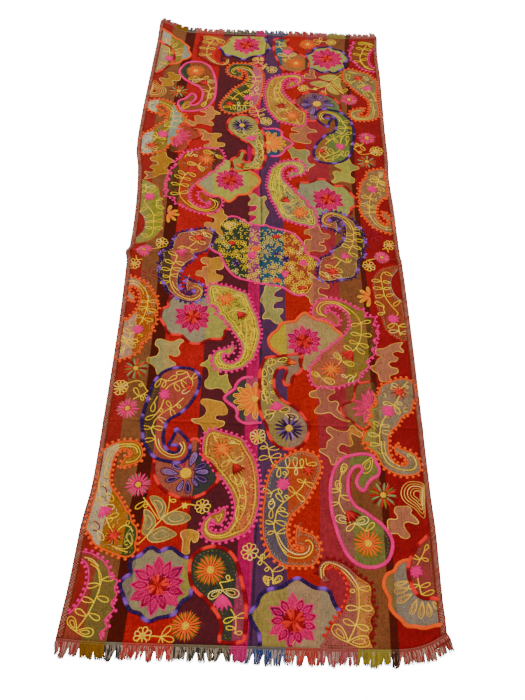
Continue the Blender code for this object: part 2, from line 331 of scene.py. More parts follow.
def sewPicot(path, thread, shape, dash=None, width=4.0, pitch=12.0):
    # a satin line with round knots on its outer side, some with short dashes of another wool inside it
    marks, spacing = marksAlong(path, 3.4)
    drift = chance.uniform(0, 60)

    def toneAt(run):
        if thread == "violet":
            return dyed(math.sin((run + drift) / 9), stitchLook["picotLightFrom"])
        return 0.55 + chance.uniform(-0.3, 0.3)

    for u, v, turn, run in marks:
        sew("lines", u, v, turn, spacing * 1.4, width, 1.3, shadeOf(thread, toneAt(run)), run=run)
    marks, spacing = marksAlong(path, pitch)
    votes = 0
    for u, v, turn, _ in marks[:: max(1, len(marks) // 9)]:
        left = (u - 4 * math.sin(turn), v + 4 * math.cos(turn))
        votes += -1 if insideShape(left, shape)[0] else 1
    side = 1 if votes >= 0 else -1
    for u, v, turn, run in marks:
        sin, cos = math.sin(turn), math.cos(turn)
        off, inner = stitchLook["knotOff"] * side, stitchLook["dashOff"] * side
        sew("knots", u - off * sin, v + off * cos, turn + chance.uniform(-0.3, 0.3), stitchLook["knotLong"],
            stitchLook["knotWide"], 1.9, shadeOf(thread, toneAt(run) + 0.1), -0.2, run)
        for on in (0.28, 0.72) if dash else ():
            sew("lines", u + inner * sin + on * spacing * cos, v - inner * cos + on * spacing * sin,
                turn, 4.4, 1.8, 0.9, shadeOf(dash, chance.uniform(0.2, 1.0)), run=run)


def sewLoop(base, tip, thread, width, link=4.0, size=2.4):
    # a small open teardrop of thread
    base, tip = np.array(base, float), np.array(tip, float)
    length = max(float(np.hypot(*(tip - base))), 4.0)
    ahead = (tip - base) / length
    aside = np.array([-ahead[1], ahead[0]])
    t = np.linspace(0, 2 * math.pi, 25)
    along = (1 - np.cos(t)) / 2
    across = np.sin(t) * np.sin(t / 2) * 0.5
    path = base + np.outer(along, ahead * length) + np.outer(across, aside * width * 1.15)
    sewLine(path, thread, width=size, link=link, height=0.9)


def sewPetal(base, tip, thread, width, size=1.9):
    # the outline of a petal that is pointed at its tip
    base, tip = np.array(base, float), np.array(tip, float)
    ahead = tip - base
    aside = np.array([-ahead[1], ahead[0]]) / max(float(np.hypot(*ahead)), 1e-6)
    t = np.linspace(0, 1, 11)
    bulge = np.sin(np.pi * t ** 0.8) ** 1.15 * width / 2
    for side in (-1, 1):
        path = base + np.outer(t, ahead) + np.outer(bulge * side, aside)
        sewLine(path, thread, width=size, link=4.2, height=1.2)


def partOf(base, tip, start, end):
    # the stretch of a line between two shares of its length
    return base + (tip - base) * start, base + (tip - base) * end


def sewCurl(centre, start, sweep, steps, reach, tighten, thread, **look):
    # a short line that curls in towards its centre
    t = np.linspace(0, sweep, steps)
    curl = centre + np.stack([np.cos(start + t), np.sin(start + t)], -1) * (reach * (1 - t / tighten))[:, None]
    sewLine(curl, thread, **look)


def sewRays(u, v, inner, outer, count, threads, width, phase=0.0, kind="petals", height=1.2,
            tones=(0.3, 0.8), jitter=0.06):
    # stitches that point away from a middle, the threads named taken in turn
    threads = threads.split()
    for i in range(count):
        turn = phase + 2 * math.pi * i / count + chance.uniform(-jitter, jitter)
        reach = outer * chance.uniform(0.93, 1.05)
        middle = (inner + reach) / 2
        sew(kind, u + middle * math.cos(turn), v + middle * math.sin(turn), turn, reach - inner, width,
            height, shadeOf(threads[i % len(threads)], chance.uniform(*tones)), run=reach)


def sewCore(u, v, radius, thread, height=1.8, base=0.2):
    # a filled round eye of small knots
    sew("knots", u, v, 0.0, radius * 1.5, radius * 1.5, height, shadeOf(thread, 0.5), base)
    count = max(6, int(radius * 1.5))
    for i in range(count):
        turn = 2 * math.pi * i / count
        sew("knots", u + radius * 0.72 * math.cos(turn), v + radius * 0.72 * math.sin(turn), turn,
            radius * 0.62, radius * 0.62, height * 0.9, shadeOf(thread, chance.uniform(0.2, 1.0)), base)


# Each flower: rings of rays, then cores. A ring has its inner and outer share of the radius, its number of
# rays, their threads and their look: width in mm or as a share of the radius, how far the ring is turned, and
# the rest that sewRays takes. A core has its share of the radius, its thread and its height.
flowerPlans = {
    "sun": {
        "rings": [
            (0.5, 0.95, 18, "moss",
             {"width": 2.8, "turned": 0.17, "kind": "lines", "height": 0.7, "tones": (0.3, 0.9)}),
            (0.14, 1.0, 18, "orange",
             {"width": 3.7, "kind": "lines", "height": 1.5, "tones": (0.6, 1.0), "jitter": 0.03}),
            (0.1, 0.32, 12, "flame",
             {"width": 2.8, "turned": 0.1, "kind": "lines", "height": 1.8, "tones": (0.6, 1.0)}),
        ],
        "cores": [(0.25, "gold", 2.2), (0.13, "yellow", 3.0)],
    },
    "orangeFlower": {
        "rings": [
            (0.3, 0.92, 13, "moss",
             {"width": 2.4, "turned": 0.24, "kind": "lines", "height": 0.8, "tones": (0.0, 0.5)}),
            (0.0, 1.0, 13, "orange",
             {"width": 4.2, "kind": "lines", "height": 1.5, "tones": (0.5, 1.0), "jitter": 0.12}),
            (0.0, 0.5, 8, "flame", {"width": 4.4, "turned": 0.2, "height": 1.9, "tones": (0.4, 1.0)}),
        ],
        "cores": [],
    },
    "pinkDaisy": {
        "rings": [
            (0.5, 0.96, 17, "sage",
             {"width": 1.5, "turned": 0.18, "kind": "lines", "height": 0.8, "tones": (0.0, 0.8)}),
            (0.2, 1.0, 17, "softPink pink softPink",
             {"width": 4.6, "kind": "lines", "tones": (0.4, 1.0), "jitter": 0.04}),
        ],
        "cores": [(0.23, "gold", 1.8)],
    },
    "redGreenDaisy": {
        "rings": [
            (0.2, 1.0, 18, "red moss red sage darkRed sage",
             {"width": 5.4, "kind": "lines", "tones": (0.3, 0.8), "jitter": 0.04}),
            (0.5, 1.02, 20, "sage darkRed",
             {"width": 1.5, "turned": 0.16, "kind": "lines", "height": 0.8, "tones": (0.0, 0.9)}),
        ],
        "cores": [(0.22, "gold", 1.8)],
    },
    "nightDaisy": {
        "rings": [
            (0.2, 1.0, 19, "navy violet navy lavender navy",
             {"width": 5.0, "kind": "lines", "height": 1.4, "tones": (0.0, 0.8), "jitter": 0.04}),
        ],
        "cores": [(0.24, "gold", 1.8)],
    },
    "pinkFlower": {
        "rings": [
            (0.0, 1.05, 9, "pink", {"share": 0.5, "height": 1.5, "tones": (0.1, 0.5)}),
            (0.0, 0.7, 7, "pink", {"share": 0.4, "turned": 0.3, "height": 1.9, "tones": (0.3, 0.8)}),
        ],
        "cores": [],
    },
    "redFlower": {
        "rings": [
            (0.1, 1.0, 14, "red darkRed", {"width": 2.8, "tones": (0.5, 1.0)}),
            (0.0, 0.5, 8, "red", {"width": 4.0, "phase": 0.2, "height": 1.5, "tones": (0.6, 1.0)}),
        ],
        "cores": [],
    },
    "starFlower": {
        "rings": [(0.0, 1.0, 12, "navy navy lavender", {"width": 4.2, "tones": (0.1, 0.6)})],
        "cores": [(0.4, "navy", 1.8)],
    },
    "duskFlower": {
        "rings": [
            (0.2, 1.0, 15, "darkRed rose",
             {"width": 2.0, "kind": "lines", "height": 0.8, "tones": (0.0, 0.6), "jitter": 0.12}),
        ],
        "cores": [],
    },
    "bud": {"rings": [(0.0, 1.0, 6, "yellow", {"share": 0.5})], "cores": []},
}


def sewLoopDaisy(u, v, radius, turn):
    # a ring of open loops round a small core
    count = 8 if radius < 17 else 10
    for i in range(count):
        a = turn + 2 * math.pi * i / count + chance.uniform(-0.08, 0.08)
        reach = radius * chance.uniform(0.95, 1.08)
        base = (u + 3.5 * math.cos(a), v + 3.5 * math.sin(a))
        tip = (u + reach * math.cos(a), v + reach * math.sin(a))
        sewLoop(base, tip, "yellow" if i % 3 else "paleYellow", width=radius * 0.62, link=3.6)
    sewCore(u, v, 4.6, "gold")


def sewFlower(kind, u, v, radius, turn):
    if kind == "yellowDaisy":
        sewLoopDaisy(u, v, radius, turn)
        return
    for inner, outer, count, threads, ring in flowerPlans[kind]["rings"]:
        look = dict(ring)
        width = look.pop("width", radius * look.pop("share", 0.0))
        phase = look.pop("phase", turn + look.pop("turned", 0.0))
        sewRays(u, v, radius * inner, radius * outer, count, threads, width, phase, **look)
    for share, thread, height in flowerPlans[kind]["cores"]:
        sewCore(u, v, radius * share, thread, height)


def sewTulip(u, v, width, height, turn, outer, inner):
    # a fan of petals that opens towards its turn, long ones of one thread and short ones of another
    baseU, baseV = u - math.cos(turn) * height / 2, v - math.sin(turn) * height / 2
    spread = math.atan2(width / 2, height) * 1.15
    for i in range(9):
        a = turn + spread * (i - 4) / 4
        reach = height * (0.86 if i % 2 else 1.1) * chance.uniform(0.96, 1.04)
        shade = shadeOf(inner, chance.uniform(0.3, 0.8)) if i % 2 else shadeOf(outer, chance.uniform(0.0, 0.5))
        sew("petals", baseU + math.cos(a) * reach / 2, baseV + math.sin(a) * reach / 2, a, reach, width * 0.19,
            1.2 + 0.3 * (i % 2), shade)


lotusLook = {
    "petals": 13, "wide": 0.72, "outline": "pink", "body": "rose", "heart": "red red darkRed",
    "inner": ("darkRed", "navy", "darkRed", "softPink"),    # taken in turn, one for each petal
}


def sewLotus(u, v, radius, innerRadius):
    # pointed petals, each outlined and veined, round a star of red wool
    centre, count = np.array([u, v]), lotusLook["petals"]
    wide = 2 * math.pi * radius / count * lotusLook["wide"]
    for i in range(count):
        a = 2 * math.pi * (i + 0.5) / count + chance.uniform(-0.05, 0.05)
        reach = radius * (1.0 if i % 2 else 0.88) * chance.uniform(0.96, 1.05)
        start = innerRadius * 0.7
        ahead = np.array([math.cos(a), math.sin(a)])
        base, tip = centre + ahead * start, centre + ahead * reach
        shade = shadeOf(lotusLook["body"], chance.uniform(0.1, 0.9))
        sew("petals", *((base + tip) / 2 - ahead), a, reach - start - 2, wide * 1.1, 0.8, shade, -0.4)
        sewPetal(base, tip, lotusLook["outline"], wide)
        sewPetal(*partOf(base, tip, 0.1, 0.86), lotusLook["inner"][i % 4], wide * 0.6, 1.5)
        sewPetal(*partOf(base, tip, 0.2, 0.7), lotusLook["outline"], wide * 0.3, 1.5)
    sewCore(u, v, innerRadius * 0.8, "darkRed", height=0.9, base=-0.2)
    sewRays(u, v, innerRadius * 0.15, innerRadius * 0.98, 12, lotusLook["heart"], innerRadius * 0.28, 0.15,
            height=1.9, tones=(0.55, 1.0), jitter=0.12)
    sewRays(u, v, 0, innerRadius * 0.5, 6, "red", 3.4, 0.5, height=2.2, tones=(0.4, 0.8))


def gapTo(points, shape):
    # how far each point is from the nearest point of a shape
    apart = points[:, None] - shape[None]
    return np.min(np.hypot(apart[..., 0], apart[..., 1]), axis=1)


def sewContour(path, thread, width, dashes):
    # a line of thread, or loose dashes this far apart
    if dashes is None:
        sewLine(path, thread, width=width, height=0.9)
        return
    for u, v, turn, run in marksAlong(path, dashes)[0]:
        sew("lines", u, v, turn + chance.uniform(-0.9, 0.9), chance.uniform(3.4, 6.0), width, 0.8,
            shadeOf(thread, chance.uniform(0, 1)), run=run)


def sewInside(shape, inset, thread, width, dashes):
    # a contour this far inside a figure, where it is wide enough for it
    ahead = np.roll(shape, -2, axis=0) - np.roll(shape, 2, axis=0)
    ahead = ahead / np.maximum(np.hypot(ahead[:, 0], ahead[:, 1]), 1e-6)[:, None]
    aside = np.stack([-ahead[:, 1], ahead[:, 0]], -1)
    if not insideShape(shape + aside, shape).mean() > 0.5:
        aside = -aside
    inner = shape + aside * inset
    clear = (gapTo(inner, shape) > inset - 0.7) & insideShape(inner, shape)
    stretches, run = [], []
    for point, ok in zip(inner, clear):
        if ok and (not run or math.hypot(*(point - run[-1])) < 8):
            run.append(point)
            continue
        stretches.append(run)
        run = [point] if ok else []
    for run in stretches + [run]:
        if len(run) > 5:
            sewContour(np.array(run), thread, width, dashes)


def sewScatter(shape, threads, pitch):
    # small curls and dashes inside a figure
    low, high = shape.min(axis=0), shape.max(axis=0)
    across, along = np.meshgrid(np.arange(low[0], high[0], pitch), np.arange(low[1], high[1], pitch))
    places = np.stack([across.ravel(), along.ravel()], -1)
    places = places + [[chance.uniform(-0.4, 0.4) * pitch, chance.uniform(-0.4, 0.4) * pitch] for _ in places]
    for place in places[insideShape(places, shape) & (gapTo(places, shape) > 7)]:
        start, reach = chance.uniform(0, anyTurn), pitch * chance.uniform(0.3, 0.5)
        sewCurl(place, start, chance.choice((1.2, 2.6, 4.4)), 9, reach, 9, chance.choice(threads),
                width=1.8, link=3.4, height=0.9)


# Every figure: its outline, the part of it without an edge, how it is edged, and the wool of its ground by
# stripe. Threads are written before their points: "lines" are paths, "loops" the middles of small open leaves
# beside them, "leaves" and "petals" solid ones from base to tip. A stroke starts the next path, of the same
# thread if it names none. A contour has its inset, thread, width and, where it is broken, how far apart its
# dashes are.


figures = {
    "lotusMedallionLeft": {
        "outline":
            "228,98 228,84 215,76 209,64 203,52 190,47 175,44 162,38 150,41 140,51 124,55 113,68 107,80 "
            "98,95 96,106 104,118 112,124 108,140 110,152 122,158 128,163 137,173 148,175 160,168 172,174 "
            "185,175 200,164 216,157",
        "hidden": "236,130",
        "edge": ("violet", "band"),
        "fill":
            "umber #81705b scarlet #988660 wine #9e8a40 crimson #a29f52 brown #a8a44c umberRight #8f9060",
        "lotus": [(166, 103, 57, 24)],
    },
    "lotusMedallionNear": {
        "outline":
            "363,-2 360,20 350,35 342,48 342,60 352,72 358,90 372,101 385,104 400,108 412,118 428,124 "
            "445,115 460,107 475,106 487,100 493,85 500,72 506,66",
        "hidden": "497,50 485,35 478,15 470,0",
        "edge": ("violet", "band"),
        "fill":
            "purple #a18743 scarletRight #ae8660 magenta #b5a840 wine #b5ab48 scarlet #a89f5c "
            "crimson #a08562",
        "lotus": [(421, 46, 50, 26)],
    },
    "sunPaisley": {
        "outline":
            "292,6 291,30 284,50 270,67 255,82 240,93 228,108 222,130 221,148 228,165 244,176 265,181 "
            "290,174 306,158 315,135 323,110 331,80 334,50 334,20 330,7",
        "edge": ("red", "band"),
        "fill": "wine #3c3c30 magenta #a23856 scarletRight #a8683c purple #2f5f6c",
        "contours": [(8.5, "moss", 1.6, 8.0)],
        "lines": "yellow 280,112 294,114 306,118 / 305,64 314,50 317,34 316,20 / 287,100 284,106 280,112",
        "loops": "yellow 305,45 325,52 309,30 322,22 296,120",
        "leaves": "paleYellow 287,98 262,84 / 287,98 318,90",
        "halo": [(261, 135, 33, "moss")],
        "flowers": [("sun", 261, 135, 30)],
        "tulips": [(288, 76, 36, 30, -1.5, "pink", "pink")],
    },
    "rosePaisley": {
        "outline":
            "466,130 465,145 474,158 490,161 508,157 526,147 540,133 552,125 564,117 567,100 565,85 "
            "572,66 563,50 567,35 559,22 567,3",
        "hidden":
            "474,0 479,15 486,33 497,50 509,64 518,80 524,100 523,118 514,134 500,148 485,150 478,140 "
            "482,128 490,122 478,118",
        "edge": ("darkRed", "picot"),
        "fill": "crimson #a5584a brown #c87a3a scarlet #ab4a2c wine #8c4034",
        "picots": "red 479,15 486,33 497,50 509,64 518,80 524,100 523,118 514,134 500,148 485,150 478,140",
        "contours": [(5.5, "darkRed", 1.6, 6.0), (9.0, "rose", 1.6, 8.0)],
        "lines":
            "darkRed 479,15 486,33 497,50 509,64 518,80 524,100 523,118 514,134 500,148 485,150 478,140 "
            "482,128 490,122 478,118 / paleYellow 472,125 471,145 482,155 500,152 520,140 535,122 541,110 "
            "/ yellow 476,130 476,143 484,151 500,147 518,134 531,118 539,106 / 541,110 542,85 540,60 "
            "532,35 520,12",
        "loops": "yellow 528,103 553,108 530,72 556,72 524,45 552,36",
        "leaves": "yellow 520,12 493,40 / 520,12 560,14",
    },
    "edgeMedallion": {
        "outline":
            "641,163 628,161 617,153 611,142 598,136 592,127 590,113 595,100 600,88 599,75 607,62 618,52 "
            "628,40 645,36 660,29 678,25 691,19",
        "hidden": "691,75 665,84 648,98 640,118 637,140",
        "edge": ("orange", "band"),
        "fill":
            "brown #8a6a34 umberRight #86683c rightRed #8e7b67 umber #8b9684 ochre #8f7a2a "
            "leftRed #a8a48c",
        "petals":
            "tanEdge 637,121 615,116 / 638,108 614,103 / 642,97 619,86 / 650,86 640,64 / 660,79 656,54 / "
            "670,74 672,51 / 680,72 688,56",
    },
    "cornerPaisley": {
        "outline": "684,217 672,203 658,190 648,172 641,160 638,140 641,118 650,97 665,84 683,78 692,70",
        "hidden": "692,217",
        "edge": ("red", "band"),
        "fill": "rightRed #983b36 leftRed #a58d64 ochre #7c6a28",
        "contours": [(9.5, "moss", 1.7, 6.0)],
        "lines": "yellow 655,126 657,110 660,92 / 656,152 661,160 668,172 672,180",
        "loops": "yellow 647,111 667,109 675,92 655,167 671,163 676,186",
        "flowers": [("pinkFlower", 653, 139, 14)],
    },
    "leftEdgePaisley": {
        "outline":
            "14,163 32,160 46,153 58,145 69,132 76,115 90,110 87,95 93,83 86,68 93,57 85,45 80,36 86,24 "
            "76,14 82,2",
        "hidden": "12,2 13,43 22,54 30,70 34,85 36,100 35,118 28,137 16,148",
        "edge": ("pink", "picot"),
        "fill": "leftRed #9a402c ochre #7c6430 umber #5a4a1c rightRed #8a4420 umberRight #6a3a1c",
        "picots": "pink 16,148 28,137 35,118 36,100 34,85 30,70 22,54 13,43",
        "lines":
            "yellow 28,148 45,138 58,118 / 34,140 49,130 56,112 59,100 / 58,118 60,105 58,85 52,60 45,40 "
            "32,15 / 60,92 59,84 / paleYellow 20,152 36,148 50,136",
        "loops": "yellow 42,98 70,112 38,72 72,74 33,48 60,42",
        "leaves": "yellow 33,14 16,38 / 33,14 64,14",
    },
    "leftPaisley": {
        "outline":
            "14,207 12,215 12,300 9,345 12,378 24,391 40,399 58,402 75,402 87,395 94,378 91,360 80,352 "
            "62,346 52,340 57,358 62,366 70,368 72,376 64,383 50,383 40,375 35,355 34,330 36,310 42,297 "
            "55,283 68,268 80,252 92,240 98,226 108,216 113,200 112,182 114,168 104,157 88,157 70,163 "
            "50,171 33,181 25,195",
        "edge": ("orange", "picot"),
        "fill":
            "leftRed #c4a57e ochre #ae681a umber #4c4a1e brown #94864a umberRight #6f6a40 "
            "rightRed #8d7a48",
        "contours": [(6.5, "stone", 1.5, 9.0)],
        "scatter": [("stone yellow moss cream", 15.0)],
        "lines":
            "yellow 20,345 22,368 30,385 44,394 60,396 76,395 85,388 90,375 85,362 74,356 62,354 / 24,340 "
            "27,362 34,378 46,388 62,391 78,388 84,376 / 14,310 18,290 28,265 33,258 / 45,235 55,218 "
            "65,204 / 75,172 88,168 100,165 / 68,176 84,172 96,172 106,180 / 72,206 84,218 96,216 104,206 "
            "/ darkRed 24,226 32,222 38,214 34,206 26,208 / 22,300 30,296 34,286",
        "loops": "yellow 45,275 60,238 100,192 90,222 26,330 28,300 22,276 / paleYellow 46,192 52,256",
        "leaves": "sage 98,212 100,176",
        "flowers": [("redFlower", 68, 197, 20)],
        "tulips": [(39, 247, 30, 26, -0.9, "pink", "pink")],
    },
    "daisyMedallion": {
        "outline":
            "122,360 121,340 130,318 145,298 165,286 188,278 212,280 232,290 246,304 258,322 252,340 "
            "232,365 218,380 215,400 208,412 195,410 190,395",
        "hidden": "184,372 160,362",
        "edge": ("red", "band"),
        "fill": "scarlet #aa543f wine #3e3c36 crimson #8a5a5a brown #6f7a48 scarletRight #8a4a3c",
        "petals":
            "lavender 196,346 208,384 / navy 204,340 232,357 / lavender 207,335 239,338 / navy 206,328 "
            "237,316 / lavender 202,322 218,304 / navy 195,317 199,288 / lavender 187,317 177,292 / navy "
            "178,322 149,315 / lavender 176,330 137,338 / rose 185,344 182,364 / navy 180,340 160,352",
        "cores": [(190, 332, 12, "gold")],
    },
    "centrePaisley": {
        "outline":
            "415,385 430,391 447,388 461,382 469,368 471,350 466,335 460,320 452,305 445,290 435,272 "
            "425,262 414,252 408,240 404,225 404,210 408,195 412,188 418,180 428,176 437,177 436,185 "
            "425,188 422,198 425,227 430,218 444,213 458,206 467,190 468,175 463,160 455,150 440,147 "
            "420,147 404,148 388,156 376,166 367,183 360,200 357,220 356,240 355,262 357,285 358,305 "
            "362,325 366,340 373,352 382,365 395,375",
        "edge": ("orange", "picotGrey"),
        "fill": "purple #5e4e58 scarletRight #bb4624 magenta #c04c6c wine #4a4622",
        "contours": [(6.0, "stone", 1.6, 8.0)],
        "lines":
            "yellow 388,308 378,302 372,298 367,285 / 440,328 432,310 420,297 400,280 392,272 383,258 "
            "380,240 378,225 384,205 392,185 405,172 / 440,375 442,365 442,355 / 390,190 402,170 420,163 "
            "440,165 452,175 455,188 448,198 440,197 / 375,352 392,352 412,352 440,353 / 398,350 404,342 "
            "395,328 / paleYellow 384,212 394,192 406,178 422,170 438,171 447,178 449,188 / 371,282 "
            "365,274 366,264 373,262 377,272 371,284",
        "loops":
            "yellow 386,300 362,298 371,275 430,322 448,316 412,302 428,288 404,286 392,262 388,284 "
            "371,252 394,252 370,232 392,232 374,212 394,214 432,362 452,362 398,338 384,342 / paleYellow "
            "402,366 418,366 420,345",
        "leaves": "sage 404,366 428,382",
        "flowers": [("pinkFlower", 393, 315, 15), ("redFlower", 445, 348, 15)],
    },
    "ochrePaisley": {
        "outline":
            "222,372 221,412 227,427 240,436 262,430 292,421 305,414 318,392 330,372 337,350 342,320 "
            "344,290 343,262 338,235 325,212 308,203 290,195 272,191 256,192 243,200 236,214 240,232 "
            "252,246 266,252 276,263 280,244 272,226 262,228 256,236 250,228 252,215 264,209 282,213 "
            "293,228 298,250 295,273 285,297 268,322 250,343 240,360",
        "edge": ("pink", "picot"),
        "fill": "wine #bd7434 magenta #cc643c purple #b3803c scarletRight #a86a38 scarlet #a86a38",
        "contours": [
            (7.5, "yellow", 2.0, None), (11.5, "umber", 1.6, 7.5), (15.0, "flame", 2.0, 8.0),
            (4.5, "moss", 1.6, 8.0),
        ],
        "scatter": [("yellow flame moss yellow flame", 9.5)],
        "lines":
            "yellow 240,428 250,405 262,392 280,370 290,357 / 300,335 312,310 318,280 316,255 308,235 / "
            "300,228 290,210 270,203 250,208 244,225 252,240 / 268,402 286,406 300,402 / 306,232 300,246 "
            "302,262 304,290 296,312",
        "loops": "yellow 272,358 290,322 309,285 312,262 302,310 246,418 / paleYellow 288,406 302,370",
        "flowers": [("orangeFlower", 262, 392, 24)],
        "tulips": [(295, 348, 26, 30, -1.0, "darkRed", "red")],
    },
    "pinkPaisley": {
        "outline":
            "520,377 540,385 565,389 583,385 590,370 596,355 592,340 580,333 570,322 563,308 559,305 "
            "550,312 546,325 552,340 560,350 558,360 548,360 538,352 530,335 528,318 528,300 533,285 "
            "543,270 560,260 575,248 590,237 602,222 610,205 611,190 605,170 595,157 580,150 565,148 "
            "550,150 535,158 522,172 513,190 507,205 502,222 497,240 493,260 491,285 491,310 494,330 "
            "500,350 508,365",
        "edge": ("pink", "band"),
        "fill":
            "crimson #98564a brown #78743a umberRight #523a30 scarlet #94482a umber #34402e wine #5a3428",
        "contours": [(8.0, "moss", 1.6, 7.0)],
        "lines":
            "yellow 512,300 508,280 515,262 520,255 / 516,344 511,322 512,300 / 540,236 552,226 560,220",
        "loops": "yellow 500,276 522,290 570,230 515,214 502,304",
        "leaves":
            "yellow 583,382 562,346 / paleYellow 532,238 500,246 / 536,234 566,246 / yellow 516,340 "
            "524,364 / 511,302 506,326",
        "halo": [(563, 195, 33, "moss")],
        "flowers": [("sun", 563, 195, 30)],
        "tulips": [(532, 250, 34, 30, -0.9, "darkRed", "red")],
    },
    "violetPaisley": {
        "outline":
            "85,468 89,495 94,522 98,543 106,562 120,579 142,590 165,591 185,587 198,575 203,558 201,537 "
            "194,515 182,493 165,473 150,463 139,451 135,435 134,415 137,400 143,387 153,380 165,379 "
            "171,386 168,394 160,397 152,395 147,399 153,408 158,424 161,436 171,426 184,413 193,395 "
            "193,376 184,361 170,355 152,358 133,362 116,372 103,388 93,405 88,430 84,455",
        "edge": ("violet", "band"),
        "fill":
            "umber #5a3c2c scarlet #ad4638 ochre #6a4a18 crimson #94602e brown #6d7a3a umberRight #4a4a28",
        "contours": [(8.5, "moss", 1.6, 7.5)],
        "lines":
            "yellow 172,580 180,565 187,555 186,538 / 176,568 160,558 145,550 133,540 / 170,512 150,490 "
            "135,480 118,462 110,445 108,430 116,415 / 115,560 130,555 / 112,515 106,500 / 116,418 "
            "122,395 135,378 155,368 175,372 183,390 178,405 / 133,540 128,532 / 127,508 122,486 112,468 "
            "/ paleYellow 124,410 130,392 142,380 158,374 172,380 177,392 170,402",
        "loops":
            "yellow 105,486 103,462 98,436 122,436 107,408 140,562 152,540 168,548 192,570 160,578 "
            "122,484 140,494 160,492 150,472 124,548 106,540 / paleYellow 128,456 174,530",
        "flowers": [("pinkFlower", 127, 520, 14), ("redFlower", 180, 540, 12)],
    },
    "olivePaisley": {
        "outline":
            "213,775 212,790 207,805 207,820 210,832 225,838 240,833 253,832 268,826 285,818 300,812 "
            "306,800 312,785 318,765 325,750 330,735 333,715 337,700 336,680 333,665 330,650 325,635 "
            "322,622 312,612 302,600 285,592 265,586 248,588 237,593 230,605 228,620 233,635 243,643 "
            "257,645 268,652 273,660 276,645 270,633 262,630 253,635 250,623 256,611 268,606 283,613 "
            "292,625 296,645 292,665 283,680 270,700 262,715 252,725 245,738 232,743 235,755 228,768",
        "edge": ("pink", "picotGrey"),
        "fill":
            "wine #b4a032 magenta #c49c26 scarlet #a48a40 purple #a8a83c scarletRight #8f8a5c "
            "crimson #8f8458",
        "contours": [(7.0, "yellow", 2.2, None), (10.0, "umber", 1.7, 6.5), (13.0, "yellow", 2.2, None)],
        "scatter": [("yellow moss yellow umber yellow", 8.5)],
        "lines":
            "yellow 225,828 232,814 242,802 / 262,778 275,765 282,756 / 300,730 305,710 305,690 303,660 / "
            "305,660 297,625 280,603 255,600 240,612 240,630 252,638 / 262,800 280,802 294,796 / 312,720 "
            "316,700 314,670 / 290,722 292,700 296,684",
        "loops":
            "yellow 230,815 268,750 300,780 316,742 322,702 294,712 320,676 290,690 318,650 / paleYellow "
            "284,806 234,790 302,762",
        "flowers": [("orangeFlower", 252, 790, 25)],
        "tulips": [(290, 745, 26, 28, -0.9, "darkRed", "red")],
    },
    "lotusMedallionMiddle": {
        "outline":
            "264,703 254,697 253,683 245,673 225,673 210,667 195,658 175,659 162,670 150,681 128,682 "
            "116,692 108,710 99,725 98,742 102,757 114,765 113,780 125,798",
        "hidden": "140,788 165,780 190,790 200,812 212,800 212,775 230,760 250,730",
        "under": True,
        "edge": ("red", "band"),
        "fill":
            "umber #8d8966 ochre #8a8440 scarlet #9c8a68 wine #aa9c48 crimson #969064 brown #a29f50 "
            "scarletRight #938a66",
        "lotus": [(175, 735, 48, 24)],
    },
    "orangeMedallion": {
        "outline":
            "386,633 364,652 357,672 364,691 378,705 386,722 400,728 421,732 430,745 445,758 457,749 "
            "470,740 488,735 505,728 515,713 531,697 528,688",
        "hidden": "500,655 478,632 462,613 455,600 450,596 436,600 437,640 400,636",
        "under": True,
        "edge": ("orange", "band"),
        "fill":
            "purple #c4a52c scarletRight #b58757 crimson #ae8e51 wine #b2aa46 magenta #b8a03c "
            "scarlet #a09868",
        "lotus": [(441, 675, 46, 24)],
    },
    "rightPaisley": {
        "outline":
            "578,475 590,480 585,498 600,508 603,520 598,530 610,540 612,553 622,563 635,568 650,576 "
            "665,579 680,578 690,565 692,548 692,532 685,520 680,505 675,492 660,485 652,475 642,458 "
            "630,447 622,435 620,420 619,400 622,385 630,370 643,364 655,366 658,375 650,385 640,393 "
            "633,398 637,415 640,405 655,400 672,393 682,378 684,363 680,350 665,343 648,341 632,345 "
            "618,352 605,362 598,378 592,390 585,398 573,405 578,415 565,418 570,435 578,450 585,460",
        "edge": ("orange", "picot"),
        "fill":
            "brown #9c8432 umberRight #86683c rightRed #98785a umber #8b9a88 ochre #8d6d1e "
            "leftRed #bdb49c",
        "contours": [(6.5, "stone", 1.6, 7.0), (10.0, "moss", 1.6, 9.0)],
        "scatter": [("stone moss yellow", 14.0)],
        "lines":
            "yellow 655,535 648,522 640,510 / 660,552 668,562 677,573 / 612,470 605,450 602,430 602,410 / "
            "605,420 605,395 615,370 640,355 665,355 676,367 672,385 662,390 / 620,484 616,476 612,470 / "
            "612,420 612,398 620,378 640,362",
        "loops":
            "yellow 628,555 645,500 620,515 590,435 615,442 592,412 600,462 616,458 / paleYellow 672,560 "
            "640,566 652,516",
        "flowers": [("redFlower", 655, 545, 22), ("pinkFlower", 626, 495, 16)],
    },
    "redPaisley": {
        "outline":
            "437,638 420,638 400,634 380,630 360,627 348,618 342,600 338,580 338,550 337,520 340,490 "
            "345,470 355,450 360,430 368,413 383,400 405,395 425,400 440,415 447,435 447,455 438,473 "
            "425,490 410,502 392,513 380,528 372,545 371,565 374,585 383,598 395,600 400,592 396,578 "
            "393,560 400,552 410,560 413,575 425,585 433,592 432,610 430,622",
        "top": True,
        "edge": ("red", "band"),
        "fill": "purple #9c8046 scarletRight #9a745a magenta #a8924a wine #a0964a",
        "lines":
            "yellow 346,590 344,560 348,530 358,503 / 404,612 414,606 / stone 362,600 358,575 361,548 "
            "366,522 374,506",
        "loops": "yellow 362,612 344,562 362,560 348,534 366,534",
        "leaves":
            "yellow umber 376,486 352,480 / 384,486 406,494 / paleYellow umber 396,480 424,470 / 372,482 "
            "352,462 / yellow umber 352,606 374,617 / 378,617 400,624 / 347,594 350,572 / 347,568 353,546 "
            "/ 350,542 358,520 / paleYellow umber 356,602 366,582 / 341,556 344,534 / 345,530 352,510 / "
            "yellow umber 362,516 372,504",
